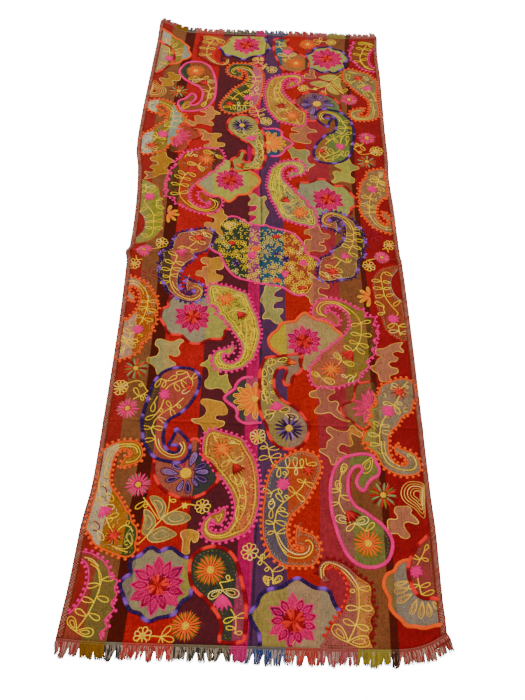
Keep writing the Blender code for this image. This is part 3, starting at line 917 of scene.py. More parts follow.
        "flowers": [("nightDaisy", 405, 444, 32)],
        "tulips": [(410, 615, 22, 30, 3.0, "darkRed", "orange"), (377, 498, 36, 26, -1.3, "pink", "pink")],
    },
    "largePaisley": {
        "outline":
            "522,722 505,735 488,742 470,742 463,758 468,780 485,798 500,802 520,802 535,797 550,790 "
            "562,783 573,773 585,772 592,760 590,750 603,750 615,748 612,735 608,725 620,720 613,708 "
            "618,693 605,683 613,668 600,657 605,643 595,633 585,620 592,612 583,602 570,590 565,575 "
            "552,565 535,560 520,553 500,550 480,552 465,552 458,565 453,580 455,600 462,612 475,625 "
            "480,640 495,650 507,665 522,678 535,692 548,710 553,730 551,752 542,770 527,780 510,784 "
            "497,775 495,758 510,765 518,755 528,742",
        "top": True,
        "edge": ("pink", "picot"),
        "fill":
            "crimson #b55a3d brown #8d6d2c umberRight #60361e rightRed #8a2c24 scarletRight #be6236 "
            "scarlet #b03c20 umber #52341c wine #5c2a20",
        "contours": [(7.0, "moss", 1.8, 8.0)],
        "scatter": [("rose moss stone", 16.0)],
        "lines":
            "yellow 580,725 577,695 568,668 555,650 / 528,624 520,612 / 490,752 477,758 475,775 485,790 "
            "505,795 525,792 545,780 562,765 575,745 580,725 / 497,748 484,758 482,774 492,786 508,790 "
            "526,786 543,773 556,758 / 535,575 545,584 556,580 560,590",
        "loops":
            "yellow 560,675 582,668 575,650 562,700 592,697 592,735 568,728 536,664 / paleYellow 532,580 "
            "548,572",
        "leaves": "yellow 528,622 512,642 / 530,620 556,612 / 477,577 458,590 / 480,574 508,562",
        "flowers": [("orangeFlower", 502, 597, 26)],
        "tulips": [(545, 640, 34, 30, -2.2, "red", "red")],
    },
    "leftLongPaisley": {
        "outline":
            "8,852 25,848 42,840 56,832 66,818 73,803 84,790 84,775 90,757 84,742 87,728 88,713 80,700 "
            "84,690 76,682 74,665 62,655 59,643 59,632 48,623 38,616 25,613 12,607 8,620 8,712 18,718 "
            "28,732 38,745 43,760 46,778 45,795 38,812 28,822 16,822 12,812 20,800 30,790 25,773 17,785 "
            "8,797 4,815 5,838",
        "edge": ("orange", "picot"),
        "fill":
            "selvedge #b87848 leftRed #c4886a ochre #b25210 umber #6a3410 umberRight #7a4a2c "
            "rightRed #9c6a42",
        "contours": [(6.0, "stone", 1.5, 8.0)],
        "scatter": [("stone yellow cream", 14.0)],
        "lines":
            "yellow 10,838 25,838 40,830 52,815 60,800 64,785 / 64,785 63,760 60,740 55,720 50,706 / "
            "33,680 30,664 25,650 22,638 / 44,682 38,684 33,680 / 16,830 30,828 44,815 52,798",
        "loops": "yellow 53,757 76,750 49,730 70,722 20,690 56,776 76,778 40,660 16,664",
        "leaves": "yellow 26,652 8,672 / 26,654 48,642 / paleYellow 22,640 14,622",
        "flowers": [("pinkFlower", 48, 692, 14)],
    },
    "rightEdgePaisley": {
        "outline":
            "686,908 685,918 665,914 645,905 630,890 620,868 616,840 618,805 623,775 630,748 634,722 "
            "645,705 665,690 680,683 690,690",
        "hidden": "688,800 675,812 666,830 662,850 665,872 675,892",
        "edge": ("red", "dashed"),
        "fill": "rightRed #9f4226 ochre #8f8a2a leftRed #948a3c selvedge #948a3c umber #6a5a20",
        "contours": [(4.4, "stone", 1.7, 6.5)],
        "lines":
            "yellow 640,870 642,840 645,815 658,790 672,768 668,758 / 640,785 638,776 640,765 / 670,728 "
            "670,714 672,700 / 662,738 668,730 / 650,896 642,884 640,870 / stone 688,800 676,812 667,830 "
            "663,850 666,872 676,892 686,906",
        "loops":
            "yellow 630,840 655,842 655,862 662,888 660,822 632,815 672,796 630,790 632,762 650,726 "
            "684,730 628,864 / paleYellow 658,712 680,708",
        "flowers": [("pinkFlower", 659, 748, 15)],
    },
    "ogeeMedallion": {
        "outline":
            "323,571 305,570 293,562 285,550 283,540 272,530 260,516 270,503 285,492 291,480 290,468 "
            "300,457 315,452 335,455 345,455",
        "hidden": "352,470 342,500 338,540 338,571",
        "under": True,
        "edge": ("pink", "band"),
        "fill": "wine #44403a magenta #b84060 purple #2f4a68 scarletRight #8f5a34",
        "halfFlower": ("flame", (331, 515), "308,553 290,542 280,524 282,506 290,488 308,474 330,466 330,558"),
        "cores": [(329, 515, 8, "gold")],
    },
    "paleMedallion": {
        "outline":
            "593,570 575,566 560,560 553,545 552,525 543,515 528,508 520,495 525,480 540,470 548,462 "
            "560,450 575,447 583,455",
        "hidden": "592,470 606,500 604,540 600,565",
        "under": True,
        "edge": ("red", "narrow"),
        "fill": "brown #885c38 crimson #9c4638 umberRight #5d3a23 scarlet #a8442c umber #6a3c20",
        "halfFlower": ("softPink", (582, 500), "595,547 568,539 549,521 544,498 549,479 570,462 585,552"),
    },
    "nightPaisley": {
        "outline":
            "115,985 120,1000 135,1008 160,1013 180,1020 200,1020 212,1012 213,995 210,975 205,955 "
            "193,942 176,932 168,915 155,905 143,890 137,875 134,858 134,840 137,820 145,808 158,801 "
            "170,803 177,812 170,819 160,812 153,820 153,855 163,845 178,840 192,832 198,815 195,798 "
            "186,785 170,780 150,783 135,790 122,800 110,812 103,828 98,838 88,845 90,860 82,868 86,885 "
            "82,897 90,910 92,925 87,932 98,942 108,952 110,970",
        "top": True,
        "edge": ("violet", "picotPale"),
        "fill":
            "umber #563a28 scarlet #a74f3c ochre #6a5220 crimson #ab4f3e brown #91673b umberRight #4a3018 "
            "scarletRight #a8442c",
        "contours": [(6.0, "moss", 1.6, 7.5)],
        "lines":
            "yellow 130,925 122,905 115,885 112,860 112,845 / 112,845 118,825 130,805 150,792 170,788 "
            "185,797 192,812 185,825 170,830 / 150,950 162,965 170,975 / 124,950 134,958 150,952 166,946 "
            "176,950 / 119,842 124,826 136,812 / 178,1000 190,1008",
        "loops":
            "yellow 106,905 137,900 100,880 132,880 104,856 128,860 195,969 205,994 185,1011 165,944 "
            "135,957 145,996 115,932 100,838 / paleYellow 190,1000 160,1004",
        "flowers": [("redFlower", 175, 988, 20)],
        "tulips": [(140, 938, 26, 28, -2.2, "pink", "pink")],
    },
}
blobs = {
    "tan": {
        "fill":
            "leftRed #a05c42 ochre #b0741c umber #b0741c scarlet #c2763e wine #c88528 magenta #c88528 "
            "purple #b08a3a scarletRight #b46c43 crimson #a85c46 brown #c87430 umberRight #a8602c "
            "rightRed #b46a4a",
        "shapes": [
            "198,208 208,213 222,212 232,206 231,192 224,188 219,195 216,185 217,166 204,168 203,190 "
            "198,200",
            "212,510 209,502 218,493 223,482 219,470 208,462 192,460 198,451 212,447 219,436 226,428 "
            "238,436 253,442 263,448 262,456 250,459 243,464 247,472 263,473 269,480 266,492 256,504 "
            "240,508 225,511",
            "470,393 474,398 485,400 488,415 497,423 499,428 488,438 487,446 493,450 505,445 520,441 "
            "533,443 543,455 553,447 565,437 562,428 550,433 540,437 540,425 543,412 535,406 520,411 "
            "511,403 512,393 525,388 530,382 520,378 508,376 503,364 495,363 490,378 478,387",
            "607,218 604,238 608,246 622,246 625,252 620,262 624,272 636,273 648,273 655,266 652,258 "
            "660,250 666,240 660,236 645,240 636,235 640,222 646,212 640,206 630,208 622,216",
            "476,553 468,543 453,537 452,527 461,523 472,522 475,509 470,501 462,492 464,484 478,483 "
            "495,486 508,477 522,469 540,466 530,475 516,488 512,498 516,508 510,515 498,513 492,520 "
            "495,529 507,536 507,542 492,547 486,551",
            "608,650 613,658 630,662 645,672 660,678 675,680 668,668 675,657 672,652 660,655 650,650 "
            "650,643 660,636 655,627 643,625 637,618 643,610 655,607 657,598 650,592 638,587 637,578 "
            "640,572 615,572 610,590 598,600 595,610 605,615 612,630 622,638 610,643",
            "188,913 192,920 203,923 215,920 230,924 240,922 243,905 243,890 235,883 225,883 225,872 "
            "233,866 243,863 240,850 228,846 218,838 210,833 203,835 200,850 193,860 178,863 176,873 "
            "183,879 192,879 193,890 203,893 203,900 192,903",
            "458,884 459,868 466,856 463,840 455,825 446,815 457,803 459,790 465,782 471,787 476,799 "
            "486,804 499,803 502,809 494,814 483,818 480,828 485,837 497,834 507,837 507,846 501,854 "
            "488,858 476,866 468,876",
        ],
    },
    "olive": {
        "fill":
            "ochre #94702c umber #9f9156 scarlet #b49353 wine #a89840 magenta #a8984a purple #a29650 "
            "scarletRight #94884e crimson #94905c brown #aaa03e umberRight #8a8440 rightRed #9a7a3c",
        "shapes": [
            "95,665 105,668 118,664 133,662 148,670 158,665 150,655 147,643 152,630 143,621 128,625 "
            "127,617 133,610 145,600 133,592 122,578 108,570 102,580 98,590 88,598 80,602 79,612 88,616 "
            "100,622 104,635 100,645 93,652",
            "221,628 218,615 203,603 203,598 215,596 222,583 222,568 215,557 217,543 228,538 243,541 "
            "254,538 262,528 270,538 275,543 269,555 265,567 263,577 252,572 244,575 243,590 235,600 "
            "228,615",
            "353,837 346,818 340,803 337,790 343,780 348,765 349,755 343,745 344,735 352,735 362,736 "
            "370,727 380,722 391,727 385,740 383,748 390,757 391,767 380,768 370,767 368,777 375,788 "
            "388,793 390,802 380,802 370,806 372,817 380,825 386,832",
        ],
    },
}
sprigs = {
    "leafFill": "scarlet #96804e umber #7a7448 crimson #a8a048 brown #b0a03c umberRight #a09440",
    "leafShapes": [
        "152,235 140,255 128,270 124,280 135,281 148,275 158,262 160,248 155,237",
        "157,238 175,249 190,249 205,244 212,236 200,226 180,222 165,226",
        "132,200 122,205 122,230 118,252 132,246 143,232 145,218 138,205",
        "133,197 145,210 160,217 175,212 189,203 175,193 158,187 142,187",
    ],
    "lines":
        "yellow 117,180 130,196 150,225 165,243 185,256 200,265 220,263 / 110,278 125,262 150,232 / "
        "164,243 165,262 163,282 / 163,12 174,12 185,11 / 35,540 55,548 72,548 85,530 90,525 / 60,503 "
        "78,515 90,527 / 345,415 357,405 363,380 370,362 380,355 / 345,165 365,150 378,135 380,112 / "
        "27,905 25,918 / 27,905 40,908 / 613,928 632,935 / 420,4 424,12",
    "loops":
        "yellow 192,20 186,1 198,8 75,540 62,527 78,508 88,512 372,396 350,372 376,378 352,396 357,163 "
        "365,168 355,152 370,142 388,140 372,122 108,262 170,272 120,262",
    "leaves": "yellow 372,108 364,126 / 380,112 396,126",
    "halfFlower": ("flame", (607, 812), "585,832 603,842 577,812 582,796 600,782"),
    "flowers": [
        ("yellowDaisy", 152, 12, 15), ("sun", 226, 31, 29), ("pinkDaisy", 95, 305, 28),
        ("pinkDaisy", 50, 480, 27), ("redGreenDaisy", 56, 582, 28), ("yellowDaisy", 27, 534, 18),
        ("yellowDaisy", 232, 262, 15), ("bud", 196, 262, 8), ("yellowDaisy", 337, 422, 17),
        ("yellowDaisy", 333, 172, 16), ("redGreenDaisy", 600, 297, 30), ("yellowDaisy", 20, 893, 15),
        ("pinkDaisy", 45, 937, 22), ("yellowDaisy", 613, 913, 16), ("duskFlower", 60, 860, 26),
    ],
    "nestedBud":
        "686,324 668,328 652,325 641,314 637,299 641,286 650,277 662,268 672,254 679,250 682,262 684,282 "
        "687,304",
    "budHeart": (673.0, 300.0),
}
middleMedallion = {
    "outline":
        "205,955 218,946 232,937 240,928 244,912 249,897 258,881 270,867 285,858 302,853 318,849 333,845 "
        "345,841 362,840 380,837 396,831 409,821 421,813 436,811 447,815",
    "fill":
        "scarlet #a3482c wine #34402e magenta #9c3f6a purple #2f5266 scarletRight #a3452a crimson #8a4a34",
    "flowers": [
        ("starFlower", 276, 907, 12), ("starFlower", 403, 925, 12), ("pinkFlower", 447, 915, 12),
        ("pinkFlower", 318, 935, 13), ("yellowDaisy", 255, 1035, 14), ("starFlower", 380, 942, 9),
    ],
    "tulips": [
        (325, 958, 30, 20, 1.6, "orange", "orange"), (398, 876, 20, 26, 1.5, "pink", "pink"),
        (440, 836, 32, 14, 1.5, "red", "red"), (262, 975, 28, 16, 1.6, "red", "red"),
        (378, 1003, 36, 15, 1.6, "red", "red"), (378, 857, 34, 14, 1.6, "orange", "orange"),
    ],
    "curlPitch": 18.0,
    # the stretches that join its two halves
    "sides": ["470,875 478,915", "225,1004 217,964"],
}


# A far figure is the near one turned half round. These are the sums of both places, and the drift of the
# far end.
halfTurn = {"across": 695, "along": 1879, "driftFrom": 1600, "driftOver": 160, "drift": 8}


def turned(points):
    points = np.asarray(points, float)
    along = halfTurn["along"] - points[..., 1]
    drift = halfTurn["drift"] * np.clip((along - halfTurn["driftFrom"]) / halfTurn["driftOver"], 0, 1)
    return np.stack([halfTurn["across"] - points[..., 0] + drift, along], -1)


def readFill(text):
    words = text.split()
    return dict(zip(words[::2], words[1::2]))


def readSewing(text):
    # each path with its threads, or with those of the path before it
    threads = []
    for part in filter(None, text.split("/")):
        words = part.split()
        named = [word for word in words if "," not in word]
        threads = named or threads
        yield threads, readPath(" ".join(words[len(named):]))


def figureShape(figure):
    # the sewn edge of a figure and its whole outline
    points = readPath(figure["outline"])
    if "hidden" not in figure:
        edge = smoothPath(points, closed=True)
        return edge, edge[:-1]
    edge = smoothPath(points)
    hidden = smoothPath(np.concatenate([points[-1:], readPath(figure["hidden"]), points[:1]]))
    return edge, np.concatenate([edge, hidden[1:-1]])


def sewOpenLeaf(centre, stems, thread):
    # a loop from the nearest stem through this middle
    base = stems[np.hypot(*(stems - centre).T).argmin()] if len(stems) else centre - (5, 5)
    away = centre - base
    distance = float(np.hypot(*away))
    reach = max(distance, 4.5)
    away = away / max(distance, 0.01)
    sewLoop(base, base + away * min(2.15 * reach, 24), thread, width=min(max(reach * 0.95, 7.0), 10.5))


def sewLeaf(base, tip, thread, *inside):
    # a loop with one or two smaller ones in it
    length = float(np.hypot(*(tip - base)))
    sewLoop(base, tip, thread, width=length * 0.55, link=4.2)
    for i, inner in enumerate(inside or [thread]):
        sewLoop(*partOf(base, tip, 0.2 + 0.12 * i, 0.76), inner, width=length * (0.26 - 0.12 * i), size=2.0)


def sewBroadPetal(base, tip, thread):
    # a petal of loops, filled where its thread is a dark one
    length = float(np.hypot(*(tip - base)))
    if thread not in ("navy", "lavender"):
        sewLoop(base, tip + (tip - base) * 0.2, thread, width=length * 0.5, link=3.8)
        sewLoop(*partOf(base, tip, 0.15, 1.0), thread, width=length * 0.24, link=3.8, size=1.8)
        return
    turn = math.atan2(tip[1] - base[1], tip[0] - base[0])
    sew("petals", *((base + tip) / 2), turn, length * 0.9, length * 0.3, 0.6, shadeOf(thread, 0.5))
    sewLoop(base, tip, "navy", width=length * 0.48, link=3.8)
    sewLoop(*partOf(base, tip, 0.1, 0.88), "lavender", width=length * 0.31, link=3.8, size=2.0)
    sewLoop(*partOf(base, tip, 0.25, 0.7), "navy", width=length * 0.14, link=3.8, size=1.8)


def sewHalfFlower(thread, centre, tips):
    # a fan of petals: three outlines each in soft pink, or else three satin stitches under a loop
    centre = np.array(centre, float)
    for tip in readPath(tips):
        u, v = centre
        turn, reach = math.atan2(tip[1] - v, tip[0] - u), math.hypot(tip[0] - u, tip[1] - v)
        if thread == "softPink":
            for size, name in ((0.34, thread), (0.2, "pink"), (0.1, thread)):
                sewPetal(centre, centre + (tip - centre) * (0.8 + 0.6 * size), name, reach * size)
            continue
        for spread, tone, share in ((-0.19, 0.2, 0.8), (0.19, 0.35, 0.84), (0.0, 0.9, 1.0)):
            off = reach * share * 0.54
            sew("petals", u + math.cos(turn + spread) * off, v + math.sin(turn + spread) * off, turn + spread,
                reach * share, reach * 0.13, 1.2 if spread else 1.7, shadeOf(thread, tone))
        sewLoop(centre + (tip - centre) * 0.3, tip, "yellow", width=reach * 0.24)


def sewDetails(item):
    stems = []
    for (thread,), path in readSewing(item.get("lines", "")):
        stems.append(smoothPath(path))
        sewLine(stems[-1], thread)
    stems = np.concatenate(stems) if stems else []
    for (thread,), centres in readSewing(item.get("loops", "")):
        for centre in centres:
            sewOpenLeaf(centre, stems, thread)
    for threads, (base, tip) in readSewing(item.get("leaves", "")):
        sewLeaf(base, tip, *threads)
    for (thread,), (base, tip) in readSewing(item.get("petals", "")):
        sewBroadPetal(base, tip, thread)
    if "halfFlower" in item:
        sewHalfFlower(*item["halfFlower"])
    for u, v, radius, thread in item.get("cores", []):
        sewCore(u, v, radius, thread)
    for u, v, radius, thread in item.get("halo", []):
        sewRays(u, v, radius * 0.3, radius, 22, thread, 4.0, 0.1, height=0.5, tones=(0.1, 0.6))
    for kind, u, v, radius in item.get("flowers", []):
        sewFlower(kind, u, v, radius, chance.uniform(0, 1))
    for tulip in item.get("tulips", []):
        sewTulip(*tulip)
    for lotus in item.get("lotus", []):
        sewLotus(*lotus)


fields = []      # closed shapes of woven ground, each with its wool by stripe, later ones on top


def addField(shape, fill):
    # both ends of the cloth have it
    fields.extend([(shape, readFill(fill)), (turned(shape), readFill(fill))])


def sewEdge(edge, shape, thread, style):
    if style == "band":
        sewBand(edge, thread)
    elif style == "narrow":
        sewBand(edge, thread, width=5.4, height=1.5)
    elif style == "dashed":
        for u, v, turn, run in marksAlong(edge, 8.6)[0]:
            sew("lines", u, v, turn, 6.6, 2.8, 1.0, shadeOf(thread, chance.uniform(0.4, 1.0)), run=run)
    else:
        sewPicot(edge, thread, shape, {"picotPale": "cream", "picotGrey": "stone"}.get(style))


def sewFigures():
    for figure in sorted(figures.values(), key=lambda item: bool(item.get("top")) - bool(item.get("under"))):
        edge, shape = figureShape(figure)
        addField(shape, figure["fill"])
        sewEdge(edge, shape, *figure["edge"])
        for (thread,), path in readSewing(figure.get("picots", "")):
            sewPicot(smoothPath(path), thread, shape)
        for contour in figure.get("contours", []):
            sewInside(shape, *contour)
        for threads, pitch in figure.get("scatter", []):
            sewScatter(shape, threads.split(), pitch)
        sewDetails(figure)
    for kind in blobs.values():
        for text in kind["shapes"]:
            edge = smoothPath(readPath(text), closed=True)
            addField(edge[:-1], kind["fill"])
            sewLine(edge, "tanEdge", width=2.2, height=0.8)


def sewSprigs():
    for text in sprigs["leafShapes"]:
        edge = smoothPath(readPath(text), closed=True)
        addField(edge[:-1], sprigs["leafFill"])
        sewLine(edge, "tanEdge", width=2.3)
        middle = edge.mean(axis=0)
        sewLine(middle + (edge - middle) * 0.55, "tanEdge", width=1.9)
    sewDetails(sprigs)
    bud, heart = smoothPath(readPath(sprigs["nestedBud"]), closed=True), np.array(sprigs["budHeart"])
    for share in (1.0, 0.82, 0.64, 0.46, 0.28):
        sewLine(heart + (bud - heart) * share, "paleYellow" if share == 0.64 else "tanEdge", width=2.2)


def sewCurls(shape, pitch):
    # rows of small loop flowers and curls, closely over a shape
    picker = random.Random(9)
    low, high = shape.min(axis=0), shape.max(axis=0)
    rows = np.arange(low[1] + pitch * 0.6, high[1], pitch * 0.86)
    for row, v in enumerate(rows):
        for u in np.arange(low[0] + pitch * (0.5 if row % 2 else 1.0), high[0], pitch):
            centre = np.array([u + picker.uniform(-3, 3), v + picker.uniform(-3, 3)])
            if not insideShape(centre, shape)[0]:
                continue
            thread = "yellow" if picker.random() < 0.85 else "paleYellow"
            if picker.random() < 0.5:
                start, petals = picker.uniform(0, anyTurn), picker.choice((3, 4, 5))
                for i in range(petals):
                    a = start + 2 * math.pi * i / petals
                    ahead = np.array([math.cos(a), math.sin(a)])
                    tip = centre + ahead * picker.uniform(7.5, 9.0)
                    sewLoop(centre + ahead * 1.2, tip, thread, width=8.0, link=3.6, size=1.8)
            else:
                start, reach = picker.uniform(0, anyTurn), picker.uniform(4.5, 7.5)
                sewCurl(centre, start, 4.6, 14, reach, 7, thread, width=1.9, link=3.6)


def sewMiddle():
    # the large medallion lies on the fold in the middle and is its own twin
    half = smoothPath(readPath(middleMedallion["outline"]))
    sewBand(half, "pink", width=7.2)
    copying["turn"] = False
    sides = [readPath(text) for text in middleMedallion["sides"]]
    shape = np.concatenate([half, sides[0], turned(half), sides[1]])
    fields.insert(0, (shape, readFill(middleMedallion["fill"])))
    sewCurls(shape, middleMedallion["curlPitch"])
    sewDetails(middleMedallion)


sewFigures()
sewSprigs()
sewMiddle()
print("stitches planned:", {kind: len(rows) for kind, rows in sewing.items()}, "fields:", len(fields))


def clearSelection():
    if bpy.context.mode != "OBJECT":
        bpy.ops.object.mode_set(mode="OBJECT")
    bpy.ops.object.select_all(action="DESELECT")


def selectOnly(obj):
    clearSelection()
    obj.select_set(True)
    bpy.context.view_layer.objects.active = obj


def selectFaces(obj, test):
    # picks faces by their normal in edit mode
    bpy.ops.mesh.select_mode(type="FACE")
    mesh = bmesh.from_edit_mesh(obj.data)
    for face in mesh.faces:
        face.select = test(face.normal)
    mesh.select_flush_mode()
    bmesh.update_edit_mesh(obj.data)


stitchForms = {
    "lines": {"sides": 6, "inset": 0.24, "crown": 0.55, "tip": 0.62},
    "bands": {"sides": 8, "inset": 0.16, "crown": 0.5, "tip": 1.0},
    "petals": {"sides": 8, "inset": 0.2, "crown": 0.5, "tip": 0.35},
    "knots": {"sides": 7, "inset": 0.22, "crown": 0.5, "tip": 0.95},
}
formShape = {"tipFrom": 0.55, "bandStretch": 1.15, "bandSlant": 0.28}


def modelStitch(kind):
    # one raised stitch, one unit long and wide, lying along x and domed towards z
    form = stitchForms[kind]
    clearSelection()
    bpy.ops.mesh.primitive_cylinder_add(vertices=form["sides"], radius=0.5, depth=form["crown"],
                                        location=(0, 0, form["crown"] / 2),
                                        rotation=(0, 0, math.pi / form["sides"]))
    stitch = bpy.context.object
    bpy.ops.object.transform_apply(location=True, rotation=True, scale=True)
    bpy.ops.object.mode_set(mode="EDIT")
    bpy.ops.mesh.select_all(action="DESELECT")
    selectFaces(stitch, lambda normal: normal.z > 0.9)
    bpy.ops.mesh.inset(thickness=form["inset"])
    bpy.ops.transform.translate(value=(0, 0, 1 - form["crown"]))
    bpy.ops.object.mode_set(mode="OBJECT")
    for vert in stitch.data.vertices:    # draws both ends in, or slants a laid stitch
        drawn = max(0.0, abs(vert.co.x) * 2 - formShape["tipFrom"]) / (1 - formShape["tipFrom"])
        vert.co.y *= 1 - (1 - form["tip"]) * drawn
        if kind == "bands":
            slanted = vert.co.x * formShape["bandStretch"] + vert.co.y * formShape["bandSlant"]
            vert.co.x = max(-0.5, min(0.5, slanted))
    bpy.ops.object.mode_set(mode="EDIT")
    bpy.ops.mesh.select_all(action="SELECT")
    bpy.ops.mesh.quads_convert_to_tris(quad_method="BEAUTY", ngon_method="BEAUTY")
    bpy.ops.mesh.normals_make_consistent(inside=False)
    bpy.ops.object.mode_set(mode="OBJECT")
    points = np.array([vert.co for vert in stitch.data.vertices])
    faces = np.array([list(face.vertices) for face in stitch.data.polygons])
    bpy.data.objects.remove(stitch, do_unlink=True)
    return points, faces


def meshFromTriangles(name, points, faces, material):
    mesh = bpy.data.meshes.new(name)
    mesh.vertices.add(len(points))
    mesh.vertices.foreach_set("co", np.ascontiguousarray(points, np.float32).ravel())
    mesh.loops.add(faces.size)
    mesh.loops.foreach_set("vertex_index", faces.astype(np.int32).ravel())
    mesh.polygons.add(len(faces))
    mesh.polygons.foreach_set("loop_start", np.arange(len(faces), dtype=np.int32) * 3)
    mesh.update(calc_edges=True)
    mesh.validate()
    mesh.shade_smooth()
    mesh.materials.append(material)
    obj = bpy.data.objects.new(name, mesh)
    bpy.context.collection.objects.link(obj)
    return obj


def colourMesh(obj, colours, domain, uvName, uv):
    # gives a mesh its wool colours, by point or by corner, and the places that its material follows
    layer = obj.data.color_attributes.new("woolColour", "FLOAT_COLOR", domain)
    full = np.ones((len(colours), 4), np.float32)
    full[:, :3] = colours
    layer.data.foreach_set("color", full.ravel())
    corners = np.empty(len(obj.data.loops), np.int32)
    obj.data.loops.foreach_get("vertex_index", corners)
    obj.data.uv_layers.new(name=uvName).data.foreach_set("uv", uv[corners].astype(np.float32).ravel())


def sewnPiece(name, form, rows, material):
    # every planned stitch becomes a copy of its form, laid on the cloth
    points, faces = form
    rows = np.array([row[:rowLength] for row in rows], float)
    across, along, turn, length, width, height, base, run = rows[:, :8].T[:, :, None]
    lx, ly = points[None, :, 0] * length, points[None, :, 1] * width
    u = np.clip(across + lx * np.cos(turn) - ly * np.sin(turn), 1.0, clothPlan["width"] - 1.0)
    v = np.clip(along + lx * np.sin(turn) + ly * np.cos(turn), 1.0, clothPlan["length"] - 1.0)
    above = base + points[None, :, 2] * height
    allFaces = faces[None] + (np.arange(len(rows)) * len(points))[:, None, None]
    places = clothPoints(u.ravel(), v.ravel(), above.ravel())
    piece = meshFromTriangles(name, places, allFaces.reshape(-1, 3), material)
    uv = np.stack([(run + lx).ravel() / 10, ly.ravel() / 10], -1)
    colourMesh(piece, np.repeat(rows[:, 8:], len(points), axis=0), "POINT", "threadPlace", uv)
    return piece


class NodeDesk:
    # short hand for wiring a material's nodes
    def __init__(self, name):
        self.material = bpy.data.materials.new(name)
        self.material.use_nodes = True
        self.tree = self.material.node_tree
        self.shader = self.tree.nodes["Principled BSDF"]

    def node(self, kind, inputs=None, **settings):
        made = self.tree.nodes.new(kind)
        for key, value in settings.items():
            setattr(made, key, value)
        for key, value in (inputs or {}).items():
            self.feed(made.inputs[key], value)
        return made

    def feed(self, socket, value):
        if isinstance(value, bpy.types.NodeSocket):
            self.tree.links.new(value, socket)
        else:
            socket.default_value = value

    def math(self, operation, a, b=0.0):
        return self.node("ShaderNodeMath", {0: a, 1: b}, operation=operation).outputs[0]

    def add(self, a, b):
        return self.math("ADD", a, b)

    def times(self, a, b):
        return self.math("MULTIPLY", a, b)

    def sway(self, light, pattern, amount):
        # lightens and darkens round the middle of a pattern
        return self.add(light, self.times(self.math("SUBTRACT", pattern, 0.5), amount))

    def noise(self, place, scale, detail, roughness=0.5):
        settings = {"Vector": place, "Scale": scale, "Detail": detail, "Roughness": roughness}
        return self.node("ShaderNodeTexNoise", settings).outputs[0]

    def split(self, vector):
        return self.node("ShaderNodeSeparateXYZ", {0: vector}).outputs

    def ramp(self, factor, stops):
        made = self.node("ShaderNodeValToRGB", {0: factor})
        made.color_ramp.interpolation = "EASE"
        ends = made.color_ramp.elements
        for end, (place, colour) in ((ends[0], stops[0]), (ends[1], stops[-1])):
            end.position, end.color = place, (*colour, 1)
        for place, colour in stops[1:-1]:
            ends.new(place).color = (*colour, 1)
        return made.outputs[0]

    def mix(self, factor, a, b, blend="MIX"):
        made = self.node("ShaderNodeMix", {0: factor}, data_type="RGBA", blend_type=blend)
        for slot, colour in ((6, a), (7, b)):
            self.feed(made.inputs[slot], colour if isinstance(colour, bpy.types.NodeSocket) else (*colour, 1))
        return made.outputs[2]

    def lit(self, colour, light):
        # a colour made lighter or darker by a factor
        grey = self.node("ShaderNodeCombineXYZ", {0: light, 1: light, 2: light}).outputs[0]
        return self.mix(1.0, colour, grey, "MULTIPLY")

    def finish(self, colour, bumps, roughness, sheen=0.0, specular=0.1):
        self.feed(self.shader.inputs["Base Color"], colour)
        self.feed(self.shader.inputs["Roughness"], roughness)
        uniform = {"Sheen Weight": sheen, "Sheen Roughness": 0.5, "Sheen Tint": (0.8, 0.35, 0.25, 1),
                   "Specular IOR Level": specular}
        for key, value in uniform.items():
            self.shader.inputs[key].default_value = value
        normal = None
        for height, distance, strength in bumps:
            bump = self.node("ShaderNodeBump", {"Height": height, "Distance": distance, "Strength": strength})
            if normal is not None:
                self.feed(bump.inputs["Normal"], normal)
            normal = bump.outputs[0]
        self.feed(self.shader.inputs["Normal"], normal)
        return self.material


wovenLook = {
    "rib": 1.15, "ribSlant": 0.62, "pick": 0.9,    # how far apart the twill ribs and the weft yarns lie
    "streak": 1.2, "mottle": 1.0, "patch": 0.5, "grain": 1.9, "fuzz": 0.5, "ribShade": 0.1,
    "fleck": "#c8925c", "fleckShare": 0.14,
    "backFloats": [(0.0, "#e2b0a0"), (0.45, "#c06a60"), (1.0, "#8a2a24")], "backShare": 0.55,
    # painted shade and highlight lines along the pressed folds: runs, place, half width, how much painted shade
    # (painted highlight where it is below zero), how far it bows
    "foldShadeAndHighlight": [
        ("length", 346, 3.5, 0.62, 7.0), ("length", 339, 3.5, -0.3, 7.0), ("width", 450, 3.0, 0.3, 0.0),
        ("width", 455, 3.0, -0.2, 0.0), ("width", 930, 3.0, 0.3, 0.0), ("width", 935, 3.0, -0.2, 0.0),
    ],
}


def paintFoldShadeAndHighlight(desk, light):
    # painted shade and highlight lines beside the pressed folds, which follow the cloth's own places
    across, along, _ = desk.split(desk.node("ShaderNodeUVMap", uv_map="clothPlace").outputs[0])
    for runs, line, half, depth, reach in wovenLook["foldShadeAndHighlight"]:
        lengthwise = runs == "length"
        spot = desk.times(across if lengthwise else along, clothPlan["width" if lengthwise else "length"])
        bow = desk.times(desk.math("SINE", desk.times(along, math.pi)), reach)
        off = desk.math("ABSOLUTE", desk.add(desk.math("SUBTRACT", spot, line), bow))
        near = desk.math("MAXIMUM", desk.math("SUBTRACT", 1.0, desk.math("DIVIDE", off, half)), 0.0)
        # painted shade where the amount is above zero, painted highlight where it is below
        light = desk.math("SUBTRACT", light, desk.times(near, depth))
    return light


